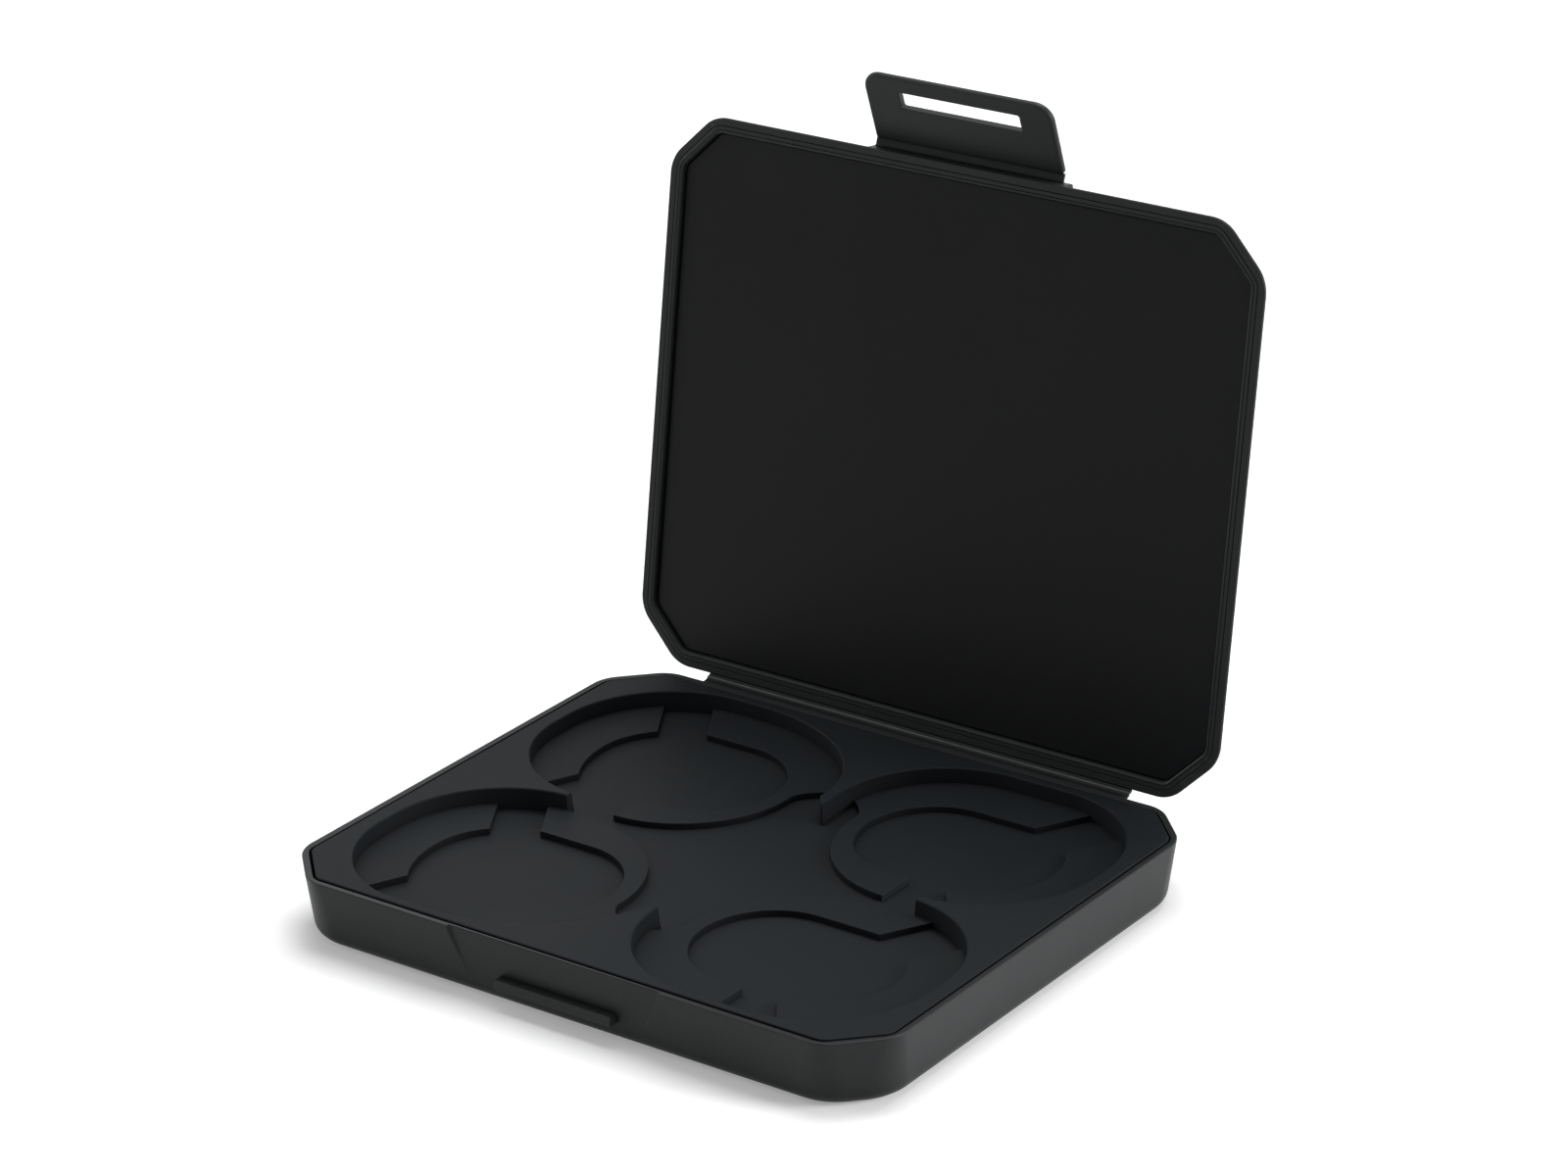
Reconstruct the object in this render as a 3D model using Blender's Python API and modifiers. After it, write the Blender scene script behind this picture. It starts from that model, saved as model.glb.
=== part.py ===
"""Four-place lens filter case, open on its living hinge.

A drafted octagonal base holds a soft stepped tray. A bevelled lid of the same plan stands open behind
it, and a slotted flap on the lid's front edge hooks under a wedge on the base's front wall.

Frame: metres, +Z up, +X to the right, and the front of the case faces -Y.
The origin is the middle of the face that the base stands on.
"""
import math

import bmesh
import bpy
from mathutils import Matrix, Vector

MM = 0.001

# Case outline and base
CASE_WIDTH = 110.0 * MM
CASE_DEPTH = 90.5 * MM
CORNER_LEG = 7.9 * MM
CORNER_RADIUS = 4.4 * MM
BASE_HEIGHT = 10.9 * MM
WALL = 1.45 * MM
BASE_DRAFT = 0.12
FOOT_RADIUS = 2.4 * MM
RIM_ROUND = 0.3 * MM
RIM_INNER_ROUND = 0.12 * MM
FLOOR_ROUND = 0.3 * MM

# Recess in the front wall behind the closed flap
RECESS_HALF_TOP = 19.8 * MM
RECESS_HALF_LOW = 16.4 * MM
RECESS_DEPTH = 1.0 * MM
RECESS_DROP = 7.2 * MM
RECESS_TILT = 1.5

# Catch that stands in the flap's slot: a ledge, a ramp that leans out downwards and a hooked underside
CATCH_SIDE_GAP = 0.2 * MM
CATCH_END_SLOPE = 0.75 * MM
CATCH_HOOK_GAP = 0.17 * MM
CATCH_HEIGHT = 1.8 * MM
CATCH_LEDGE = 1.0 * MM
CATCH_OUT = 1.75 * MM
CATCH_TIP = 0.15 * MM

# Stepped tray
TRAY_CLEARANCE = 0.3 * MM
TRAY_SINK = 0.35 * MM
TRAY_PLATE = 4.7 * MM
TRAY_SKIRT = 1.3 * MM
TRAY_RIB = 1.2 * MM
TRAY_ROUND = 0.3 * MM
SHELF_DEPTH = 2.2 * MM
FLOOR_DEPTH = 3.2 * MM
WELL_DRAFT = 0.06
WELL_Y = 21.45 * MM
WELL_HALF_Y = 20.85 * MM
WELL_CORNER = 19.2 * MM
LEFT_WELL_X = -26.73 * MM
LEFT_WELL_HALF = 24.1 * MM
LEFT_WELL_NOSE = 27.06 * MM
RIGHT_WELL_X = 26.8 * MM
RIGHT_WELL_HALF = 24.15 * MM
SEAT_RADIUS = 12.2 * MM
SEAT_STRETCH = 8.7 * MM
SEAT_X = 25.55 * MM
SEAT_Y = 21.0 * MM
RING_X = 25.6 * MM
RING_Y = 21.2 * MM
RING_RADIUS = 19.4 * MM
RING_TURN = 8.0
RING_SHOULDER_X = 3.9 * MM
RING_SHOULDER_Y = 26.7 * MM
RING_ROUND = 0.2 * MM
RING_LAP = 0.42 * MM
FINGER_LEFT = 32.6 * MM
FINGER_RIGHT = 32.8 * MM
FINGER_BACK = 18.5 * MM
FINGER_FRONT = 22.0 * MM
FINGER_POINT_HALF = 1.0 * MM
FINGER_BLUNT_LEFT = 3.9 * MM
FINGER_BLUNT_RIGHT = 5.1 * MM

# Breaks in the shelf rings, measured from each well's centre
LEFT_CHANNEL = (-9.67 * MM, 13.85 * MM)
LEFT_CHANNEL_WIDTH = 8.6 * MM
LEFT_CHANNEL_ANGLE = 120.5
RIGHT_CHANNEL = (10.9 * MM, 13.1 * MM)
RIGHT_CHANNEL_WIDTH = 9.5 * MM
RIGHT_CHANNEL_ANGLE = 60.0
LEFT_GAP_END = (-10.45 * MM, -11.55 * MM)
LEFT_GAP_ANGLE = 230.6
LEFT_GAP_STOP = 1.2 * MM
RIGHT_GAP_END = (4.8 * MM, -13.2 * MM)
RIGHT_GAP_ANGLE = 305.9
RIGHT_GAP_STOP = -2.0 * MM

# Lid
LID_GAP = 0.1 * MM
LID_HEIGHT = 4.0 * MM
LID_LAND = 0.3 * MM
LID_SLOPE = 0.8
LID_TOP_ROUND = 1.6 * MM
LIP_CLEARANCE = 0.07 * MM
LIP_WIDTH = 0.99 * MM
LIP_PROUD = 0.2 * MM
LIP_ROUND = 0.15 * MM
LINER_DROP = 1.3 * MM
LINER_THICK = 0.6 * MM
LINER_SEAT_GAP = 0.3 * MM
LINER_EDGE_GAP = 0.4 * MM
BOSS_SIDE_GAP = 0.2 * MM
BOSS_HEIGHT = 3.5 * MM
BOSS_TOP_WIDTH = 1.8 * MM
BOSS_SET_IN = 0.05 * MM
BOSS_BACK = 3.0 * MM
BOSS_ROUND = 0.4 * MM

# Lid hinge
HINGE_OUT = 1.04 * MM
HINGE_DROP = 0.27 * MM
HINGE_HALF_WIDTH = 40.3 * MM
HINGE_WEB_THICK = 0.4 * MM
HINGE_WEB_GAP = 0.3 * MM
HINGE_WEB_DROP = 0.04 * MM
OPEN_ANGLE = 99.5

# Clasp flap
FLAP_LENGTH = 12.45 * MM
FLAP_HALF_WIDTH = 17.15 * MM
FLAP_THICK = 1.2 * MM
FLAP_CORNER = 3.0 * MM
FLAP_ROUND = 0.3 * MM
SLOT_HALF_WIDTH = 10.67 * MM
SLOT_START = 7.08 * MM
SLOT_END = 9.74 * MM
SLOT_CORNER = 0.35 * MM
CLASP_OUT = 0.28 * MM
CLASP_UP = 2.58 * MM
FLAP_STAND_OUT = 0.23 * MM
FLAP_HANG = 0.74 * MM
FLAP_OPEN_ANGLE = 62.4
FLAP_LEAN = 4.0
CLASP_WEB_THICK = 0.35 * MM
CLASP_WEB_GAP = 0.25 * MM

# Fineness of the curves, and how far a cutter reaches past what it cuts
CORNER_STEPS = 5
WELL_STEPS = 14
ROUND_STEPS = 3
LEAST_RADIUS = 0.05 * MM
CAP_EDGE = 4.0 * MM
PAST = 2.0 * MM

# Levels that several pieces share
FRONT = -CASE_DEPTH / 2
BACK = CASE_DEPTH / 2
TRAY_TOP = BASE_HEIGHT - TRAY_SINK
SHELF_TOP = TRAY_TOP - SHELF_DEPTH
FLOOR_TOP = TRAY_TOP - FLOOR_DEPTH
FLANGE = BASE_HEIGHT + LID_GAP
FLANGE_WIDTH = WALL + LIP_CLEARANCE

SHELL_COLOUR = (0.022, 0.024, 0.025, 1.0)
TRAY_COLOUR = (0.014, 0.016, 0.018, 1.0)
LINER_COLOUR = (0.008, 0.009, 0.010, 1.0)


def clear_scene():
    """Removes what the file already holds."""
    for thing in list(bpy.data.objects):
        bpy.data.objects.remove(thing, do_unlink=True)


def new_collection(name):
    """A collection linked to the scene."""
    collection = bpy.data.collections.new(name)
    bpy.context.scene.collection.children.link(collection)
    return collection


def new_material(name, colour, roughness):
    """A plain plastic or rubber surface."""
    material = bpy.data.materials.new(name)
    material.use_nodes = True
    surface = material.node_tree.nodes["Principled BSDF"]
    surface.inputs["Base Color"].default_value = colour
    surface.inputs["Roughness"].default_value = roughness
    surface.inputs["Metallic"].default_value = 0.0
    material.diffuse_color = colour
    return material


def filleted(points, radii, steps, closed=True):
    """The points with each corner turned by an arc of its radius, kept within the sides it joins."""
    result = []
    count = len(points)
    for index, radius in enumerate(radii):
        corner = Vector(points[index])
        if not closed and index in (0, count - 1):
            result.append(tuple(corner))
            continue
        back = Vector(points[index - 1]) - corner
        ahead = Vector(points[(index + 1) % count]) - corner
        if radius <= 0.0:
            result.append(tuple(corner))
            continue
        half = back.angle(ahead) / 2
        reach = min(radius / math.tan(half), 0.49 * back.length, 0.49 * ahead.length)
        start = corner + back.normalized() * reach
        end = corner + ahead.normalized() * reach
        centre = corner + (back.normalized() + ahead.normalized()).normalized() * reach / math.cos(half)
        first = start - centre
        turn = first.angle_signed(end - centre)
        for step in range(steps + 1):
            angle = -turn * step / steps
            swung = Matrix.Rotation(angle, 2) @ first
            result.append(tuple(centre + swung))
    return result


def arc(x, y, radius_x, radius_y, first, last, steps):
    """Points along an ellipse from one angle to another, in degrees."""
    points = []
    for step in range(steps + 1):
        angle = math.radians(first + (last - first) * step / steps)
        points.append((x + radius_x * math.cos(angle), y + radius_y * math.sin(angle)))
    return points


def case_outline(inset):
    """The octagon of base and lid, all sides drawn in alike, with its eight corners rounded."""
    half_x = CASE_WIDTH / 2 - inset
    half_y = CASE_DEPTH / 2 - inset
    leg = CORNER_LEG - inset * (2 - math.sqrt(2))
    corners = []
    for sign_x, sign_y in ((1, 1), (-1, 1), (-1, -1), (1, -1)):
        on_end = (sign_x * half_x, sign_y * (half_y - leg))
        on_side = (sign_x * (half_x - leg), sign_y * half_y)
        corners += [on_end, on_side] if sign_x == sign_y else [on_side, on_end]
    radius = max(CORNER_RADIUS - inset, LEAST_RADIUS)
    return filleted(corners, [radius] * len(corners), CORNER_STEPS)


def left_well_outline(inset, row):
    """A left well: round corners on the outer side and a long elliptic nose towards the middle."""
    corner = WELL_CORNER - inset
    half_y = WELL_HALF_Y - inset
    straight = half_y - corner
    edge = LEFT_WELL_X - LEFT_WELL_HALF + inset + corner
    centre_y = row * WELL_Y
    nose = arc(LEFT_WELL_X, centre_y, LEFT_WELL_NOSE - inset, half_y, -90, 90, 2 * WELL_STEPS)
    upper = arc(edge, centre_y + straight, corner, corner, 90, 180, WELL_STEPS)
    lower = arc(edge, centre_y - straight, corner, corner, 180, 270, WELL_STEPS)
    return nose + upper + lower


def right_well_outline(inset, row):
    """A right well: a rectangle with very round corners."""
    corner = WELL_CORNER - inset
    reach_x = RIGHT_WELL_HALF - inset - corner
    reach_y = WELL_HALF_Y - inset - corner
    points = []
    for quarter, (sign_x, sign_y) in enumerate(((1, 1), (-1, 1), (-1, -1), (1, -1))):
        x = RIGHT_WELL_X + sign_x * reach_x
        y = row * WELL_Y + sign_y * reach_y
        points += arc(x, y, corner, corner, quarter * 90, quarter * 90 + 90, WELL_STEPS)
    return points


def seat_outline(inset, side, row):
    """The seat of one filter: two half circles joined by straight sides."""
    x = side * SEAT_X
    y = row * SEAT_Y
    radius = SEAT_RADIUS - inset
    right = arc(x + SEAT_STRETCH / 2, y, radius, radius, -90, 90, WELL_STEPS)
    left = arc(x - SEAT_STRETCH / 2, y, radius, radius, 90, 270, WELL_STEPS)
    return right + left


def finger_outline(inset):
    """The finger well: two long points between the rows and two blunt ends between the columns."""
    left = -FINGER_LEFT + inset
    right = FINGER_RIGHT - inset
    back = FINGER_BACK - inset
    front = -FINGER_FRONT + inset
    waist = RING_Y - RING_RADIUS + FINGER_POINT_HALF
    return [
        (right, FINGER_POINT_HALF),
        (RING_X, waist),
        (FINGER_BLUNT_RIGHT, back),
        (-FINGER_BLUNT_LEFT, back),
        (-RING_X, waist),
        (left, FINGER_POINT_HALF),
        (left, -FINGER_POINT_HALF),
        (-RING_X, -waist),
        (-FINGER_BLUNT_LEFT, front),
        (FINGER_BLUNT_RIGHT, front),
        (RING_X, -waist),
        (right, -FINGER_POINT_HALF),
    ]


def finish(name, mesh_data, collection, material=None):
    """Links a mesh as an object with smooth rounds and crisp edges."""
    thing = bpy.data.objects.new(name, mesh_data)
    collection.objects.link(thing)
    mesh_data.shade_smooth()
    mesh_data.set_sharp_from_angle(angle=math.radians(32))
    if material:
        mesh_data.materials.append(material)
    return thing


def hide_cutter(thing):
    """Marks an object as a cutter."""
    thing.hide_render = True
    thing.display_type = "WIRE"


def loft(name, collection, outline, levels, material=None):
    """A closed body through the outline's rings, one for each (height, inset), capped at both ends."""
    mesh = bmesh.new()
    rings = []
    for height, inset in levels:
        rings.append([mesh.verts.new((x, y, height)) for x, y in outline(inset)])
    for lower, upper in zip(rings, rings[1:]):
        for index in range(len(lower)):
            after = (index + 1) % len(lower)
            mesh.faces.new((lower[index], lower[after], upper[after], upper[index]))
    bmesh.ops.contextual_create(mesh, geom=rings[0])
    bmesh.ops.contextual_create(mesh, geom=rings[-1])
    bmesh.ops.recalc_face_normals(mesh, faces=mesh.faces)
    data = bpy.data.meshes.new(name)
    mesh.to_mesh(data)
    mesh.free()
    return finish(name, data, collection, material)


def prism(name, collection, points, low, high, turn=None, material=None):
    """A flat outline filled and extruded between two heights, then turned into place."""
    curve = bpy.data.curves.new(name, "CURVE")
    curve.dimensions = "2D"
    curve.fill_mode = "BOTH"
    curve.extrude = (high - low) / 2
    spline = curve.splines.new("POLY")
    spline.points.add(len(points) - 1)
    for point, (x, y) in zip(spline.points, points):
        point.co = (x, y, 0.0, 1.0)
    spline.use_cyclic_u = True
    source = bpy.data.objects.new(name, curve)
    collection.objects.link(source)
    seen = source.evaluated_get(bpy.context.evaluated_depsgraph_get())
    data = bpy.data.meshes.new_from_object(seen)
    bpy.data.objects.remove(source, do_unlink=True)
    mesh = bmesh.new()
    mesh.from_mesh(data)
    bmesh.ops.remove_doubles(mesh, verts=mesh.verts, dist=0.00001)
    bmesh.ops.translate(mesh, verts=mesh.verts, vec=(0.0, 0.0, (high + low) / 2))
    if turn:
        bmesh.ops.transform(mesh, matrix=turn, verts=mesh.verts)
    bmesh.ops.dissolve_limit(mesh, angle_limit=math.radians(0.5), verts=mesh.verts, edges=mesh.edges)
    bmesh.ops.recalc_face_normals(mesh, faces=mesh.faces)
    mesh.to_mesh(data)
    mesh.free()
    return finish(name, data, collection, material)


# Turns a flat outline upright: its x stays, its y points up and its thickness runs along -Y
STANDING = Matrix.Rotation(math.radians(90), 4, "X")
# Turns a flat outline into a side view: its x runs along Y, its y points up, its thickness along X
SIDEWAYS = Matrix(((0, 0, 1, 0), (1, 0, 0, 0), (0, 1, 0, 0), (0, 0, 0, 1)))


def combine(thing, other, operation):
    """Cuts or joins with another body, which stays as a hidden guide."""
    modifier = thing.modifiers.new(operation.title(), "BOOLEAN")
    modifier.operation = operation
    modifier.solver = "EXACT"
    modifier.object = other
    hide_cutter(other)


def bevel(thing, width, angle=35.0):
    """Rounds the edges that turn more than the angle."""
    modifier = thing.modifiers.new("Bevel", "BEVEL")
    modifier.width = width
    modifier.segments = 2
    modifier.limit_method = "ANGLE"
    modifier.angle_limit = math.radians(angle)
    modifier.use_clamp_overlap = True


def brim(top, radius):
    """Levels of a well's rounded upper edge: it opens outwards until it passes the top."""
    curve = []
    for step in range(ROUND_STEPS + 1):
        angle = math.radians(90 * step / ROUND_STEPS)
        curve.append(Vector((top - radius * (1 - math.sin(angle)), radius * (math.cos(angle) - 1))))
    curve[-1] += (curve[-1] - curve[-2]) * 0.3
    return [tuple(point) for point in curve]


def base_inset(height):
    """How far the drafted outer wall stands in from the rim at a height."""
    return BASE_DRAFT * (BASE_HEIGHT - height)


def build_base(parts, cutters, material):
    """The tray-shaped lower shell with its rounded foot, front recess and catch."""
    section = [
        (0.0, base_inset(0.0) + FOOT_RADIUS + CAP_EDGE),
        (0.0, base_inset(0.0)),
        (BASE_HEIGHT, 0.0),
        (BASE_HEIGHT, WALL),
        (WALL, base_inset(WALL) + WALL),
        (WALL, base_inset(WALL) + WALL + CAP_EDGE),
    ]
    radii = [0.0, FOOT_RADIUS, RIM_ROUND, RIM_INNER_ROUND, FLOOR_ROUND, 0.0]
    levels = filleted(section, radii, ROUND_STEPS, closed=False)
    base = loft("base_shell", parts, case_outline, levels, material)

    rim_point = Matrix.Translation((0.0, FRONT + RECESS_DEPTH, BASE_HEIGHT))
    lean = Matrix.Rotation(math.radians(RECESS_TILT), 4, "X")
    spread = (RECESS_HALF_TOP - RECESS_HALF_LOW) / RECESS_DROP * PAST
    recess = [
        (-RECESS_HALF_LOW, -RECESS_DROP),
        (RECESS_HALF_LOW, -RECESS_DROP),
        (RECESS_HALF_TOP + spread, PAST),
        (-RECESS_HALF_TOP - spread, PAST),
    ]
    combine(base, prism("recess_cutter", cutters, recess, 0.0, 2 * PAST, rim_point @ lean @ STANDING),
            "DIFFERENCE")

    hang = FLAP_HANG + SLOT_END
    under = clasp_axis().y - hang * math.cos(math.radians(FLAP_LEAN)) + CATCH_HOOK_GAP
    ledge = under + CATCH_HEIGHT
    root = FRONT + base_inset(under) + WALL / 2
    wedge = [
        (root, under),
        (root, ledge),
        (FRONT + base_inset(ledge) - CATCH_LEDGE, ledge),
        (FRONT + base_inset(under) - CATCH_OUT, under + CATCH_TIP),
        (FRONT + base_inset(under) - CATCH_OUT, under),
    ]
    half = SLOT_HALF_WIDTH - CATCH_SIDE_GAP
    catch = prism("catch", cutters, wedge, -half, half, SIDEWAYS)
    narrow = 1 - CATCH_END_SLOPE / half
    for vertex in catch.data.vertices:
        if vertex.co.y < FRONT:
            vertex.co.x *= narrow
    combine(base, catch, "UNION")
    return base


def ring_trim_outline(side):
    """What the shelf ring lacks towards the middle, past its arc."""
    shoulder = side * RING_SHOULDER_X
    centre = side * RING_X
    point = -FINGER_LEFT if side < 0 else FINGER_RIGHT
    if side < 0:
        edge = arc(centre, RING_Y, RING_RADIUS, RING_RADIUS, -90, RING_TURN, WELL_STEPS)
    else:
        edge = arc(centre, RING_Y, RING_RADIUS, RING_RADIUS, 270, 180 - RING_TURN, WELL_STEPS)
    turned = edge[-1]
    bend = [
        ((turned[0] * 2 + shoulder) / 3, (turned[1] + RING_SHOULDER_Y) / 2),
        (shoulder, RING_SHOULDER_Y),
    ]
    far = -side * PAST * 2
    outside = [(far, RING_SHOULDER_Y), (far, -PAST), (point, -PAST), (point, WELL_Y - WELL_HALF_Y)]
    return edge + bend + outside


def channel_outline(centre, width, angle):
    """A straight break that crosses the shelf ring."""
    along = Matrix.Rotation(math.radians(-angle), 2)
    reach = SEAT_RADIUS * 0.8
    box = [(-reach, -width / 2), (reach, -width / 2), (reach, width / 2), (-reach, width / 2)]
    turned = []
    for point in box:
        swung = Vector(point) @ along
        turned.append((centre[0] + swung.x, centre[1] + swung.y))
    return turned


def gap_outline(centre, end, angle, stop):
    """The wide break at the front of a shelf ring, from one sloped end to an upright one."""
    along = Vector((math.cos(math.radians(angle)), math.sin(math.radians(angle))))
    inner = Vector(end) - along * PAST * 2
    outer = Vector(end) + along * WELL_CORNER / 2
    past_wall = -WELL_HALF_Y - PAST * 2
    corners = [inner, outer, Vector((outer.x, past_wall)), Vector((stop, past_wall)), Vector((stop, inner.y))]
    return [(centre[0] + corner.x, centre[1] + corner.y) for corner in corners]


def mirrored(points):
    """The outline on the other side of the X axis."""
    return [(x, -y) for x, y in reversed(points)]


def build_ring(name, cutters, side, row):
    """One shelf: what stands above the floor round a filter's seat."""
    low = FLOOR_TOP - RING_LAP
    outline = left_well_outline if side < 0 else right_well_outline
    centre = (LEFT_WELL_X if side < 0 else RIGHT_WELL_X, row * WELL_Y)
    channel = LEFT_CHANNEL if side < 0 else RIGHT_CHANNEL
    channel_width = LEFT_CHANNEL_WIDTH if side < 0 else RIGHT_CHANNEL_WIDTH
    channel_angle = LEFT_CHANNEL_ANGLE if side < 0 else RIGHT_CHANNEL_ANGLE
    gap_end = LEFT_GAP_END if side < 0 else RIGHT_GAP_END
    gap_angle = LEFT_GAP_ANGLE if side < 0 else RIGHT_GAP_ANGLE
    gap_stop = LEFT_GAP_STOP if side < 0 else RIGHT_GAP_STOP

    def spread(inset):
        return outline(inset - RING_LAP, row)

    def seat(inset):
        return seat_outline(inset, side, row)

    ring = loft(name, cutters, spread, [(low, 0.0), (SHELF_TOP, 0.0)])
    below = low - PAST
    above = SHELF_TOP + PAST
    seat_levels = [(below, 0.0), (above, 0.0)]
    combine(ring, loft(name + "_seat", cutters, seat, seat_levels), "DIFFERENCE")
    trim = ring_trim_outline(side)
    if row < 0:
        trim = mirrored(trim)
    combine(ring, prism(name + "_trim", cutters, trim, below, above), "DIFFERENCE")
    place = (centre[0] + channel[0], centre[1] + channel[1])
    break_outline = channel_outline(place, channel_width, channel_angle)
    combine(ring, prism(name + "_channel", cutters, break_outline, below, above), "DIFFERENCE")
    gap = gap_outline(centre, gap_end, gap_angle, gap_stop)
    combine(ring, prism(name + "_gap", cutters, gap, below, above), "DIFFERENCE")
    bevel(ring, RING_ROUND, 50.0)
    return ring


def build_tray(parts, cutters, material):
    """The soft insert: an upside-down cup with four stepped wells and a finger well between them."""
    def tray_inset(height):
        return base_inset(height) + WALL + TRAY_CLEARANCE

    foot = WALL + TRAY_CLEARANCE
    plate_under = TRAY_TOP - TRAY_PLATE
    inner = tray_inset(foot) + TRAY_SKIRT
    section = [
        (plate_under, inner + 2 * TRAY_ROUND),
        (plate_under, inner),
        (foot, inner),
        (foot, tray_inset(foot)),
        (TRAY_TOP, tray_inset(TRAY_TOP)),
        (TRAY_TOP, tray_inset(TRAY_TOP) + 2 * TRAY_ROUND),
    ]
    radii = [0.0, 0.0, 0.0, 0.0, TRAY_ROUND, 0.0]
    levels = filleted(section, radii, ROUND_STEPS, closed=False)
    tray = loft("filter_tray", parts, case_outline, levels, material)

    well_levels = [(FLOOR_TOP, WELL_DRAFT * FLOOR_DEPTH)] + brim(TRAY_TOP, TRAY_ROUND)
    for side, outline, label in ((-1, left_well_outline, "left"), (1, right_well_outline, "right")):
        for row, place in ((1, "back"), (-1, "front")):
            def shape(inset, outline=outline, row=row):
                return outline(inset, row)
            combine(tray, loft(label + "_" + place + "_well", cutters, shape, well_levels), "DIFFERENCE")

    combine(tray, loft("finger_well", cutters, finger_outline, well_levels), "DIFFERENCE")

    for side, label in ((-1, "left"), (1, "right")):
        for row, place in ((1, "back"), (-1, "front")):
            combine(tray, build_ring(label + "_" + place + "_ring", cutters, side, row), "UNION")

    rib_height = plate_under + TRAY_ROUND - foot
    spans = (
        ("rib_across", CASE_WIDTH - 2 * inner + TRAY_SKIRT, TRAY_RIB),
        ("rib_along", TRAY_RIB, CASE_DEPTH - 2 * inner + TRAY_SKIRT),
    )
    for name, size_x, size_y in spans:
        bpy.ops.mesh.primitive_cube_add(size=1.0, location=(0.0, 0.0, foot + rib_height / 2))
        rib = bpy.context.object
        rib.name = name
        rib.data.transform(Matrix.Diagonal((size_x, size_y, rib_height, 1.0)))
        for holder in list(rib.users_collection):
            holder.objects.unlink(rib)
        cutters.objects.link(rib)
        combine(tray, rib, "UNION")
    return tray


def build_lid(parts, cutters, material):
    """The lid in its closed place: bevelled outside, flange, lip and liner seat on its open side."""
    top = FLANGE + LID_HEIGHT
    bevel_inset = LID_SLOPE * (LID_HEIGHT - LID_LAND)
    lip_start = FLANGE_WIDTH
    lip_end = FLANGE_WIDTH + LIP_WIDTH
    seat = FLANGE - LIP_PROUD + LINER_DROP + LINER_THICK + LINER_SEAT_GAP
    section = [
        (top, bevel_inset + 2 * LID_TOP_ROUND),
        (top, bevel_inset),
        (FLANGE + LID_LAND, 0.0),
        (FLANGE, 0.0),
        (FLANGE, lip_start),
        (FLANGE - LIP_PROUD, lip_start),
        (FLANGE - LIP_PROUD, lip_end),
        (seat, lip_end),
        (seat, lip_end + 2 * LIP_ROUND),
    ]
    radii = [0.0, LID_TOP_ROUND, LID_LAND, LIP_ROUND, 0.0, LIP_ROUND, LIP_ROUND, 0.0, 0.0]
    levels = filleted(section, radii, ROUND_STEPS, closed=False)
    lid = loft("lid_shell", parts, case_outline, levels, material)

    face = FRONT + BOSS_SET_IN
    half = RECESS_HALF_TOP - BOSS_SIDE_GAP
    boss_section = [
        (face, FLANGE + LID_LAND / 2),
        (face, FLANGE + BOSS_HEIGHT),
        (face + BOSS_TOP_WIDTH, FLANGE + BOSS_HEIGHT),
        (face + BOSS_BACK, FLANGE + LID_HEIGHT / 2),
        (face + FLANGE_WIDTH / 2, FLANGE + LID_LAND / 2),
    ]
    boss = prism("clasp_boss", cutters, boss_section, -half, half, SIDEWAYS)
    bevel(boss, BOSS_ROUND)
    combine(lid, boss, "UNION")
    return lid


def build_liner(parts, material):
    """The flat panel set into the lid."""
    inset = FLANGE_WIDTH + LIP_WIDTH + LINER_EDGE_GAP
    low = FLANGE - LIP_PROUD + LINER_DROP
    levels = [(low, inset), (low + LINER_THICK, inset)]
    return loft("lid_liner", parts, case_outline, levels, material)


def build_hinge_web(parts, material):
    """The strip between the base's back rim and the lid's edge, as it lies with the lid open."""
    swing = Matrix.Rotation(math.radians(-OPEN_ANGLE), 2)
    axis = Vector((BACK + HINGE_OUT, BASE_HEIGHT - HINGE_DROP))
    start = Vector((BACK, BASE_HEIGHT))
    end = axis + swing @ (Vector((BACK, FLANGE)) - axis)
    along = (end - start).normalized()
    across = Vector((-along.y, along.x)) * HINGE_WEB_THICK / 2
    drop = across + across.normalized() * HINGE_WEB_DROP
    start = start + along * HINGE_WEB_GAP - drop
    end = end - along * HINGE_WEB_GAP - drop
    section = [tuple(start - across), tuple(end - across), tuple(end + across), tuple(start + across)]
    return prism("lid_hinge_web", parts, section, -HINGE_HALF_WIDTH, HINGE_HALF_WIDTH, SIDEWAYS, material)


def clasp_axis():
    """Where the flap turns, with the lid closed: its distance along Y and its height."""
    return Vector((FRONT - CLASP_OUT, FLANGE + CLASP_UP))


def build_clasp_web(parts, material):
    """The thin strip that carries the flap on the lid's boss."""
    axis = clasp_axis()
    swing = Matrix.Rotation(math.radians(-FLAP_OPEN_ANGLE), 2)
    root = FRONT + BOSS_SET_IN - CLASP_WEB_GAP
    flap_foot = axis + swing @ Vector((-FLAP_STAND_OUT - CLASP_WEB_THICK, -FLAP_HANG))
    tip = flap_foot.x + CLASP_WEB_GAP
    half = CLASP_WEB_THICK / 2
    section = [
        (root, axis.y - half),
        (root, axis.y + half),
        (tip, axis.y + half),
        (tip, axis.y - half),
    ]
    return prism("clasp_hinge_web", parts, section, -FLAP_HALF_WIDTH, FLAP_HALF_WIDTH, SIDEWAYS, material)


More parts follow.
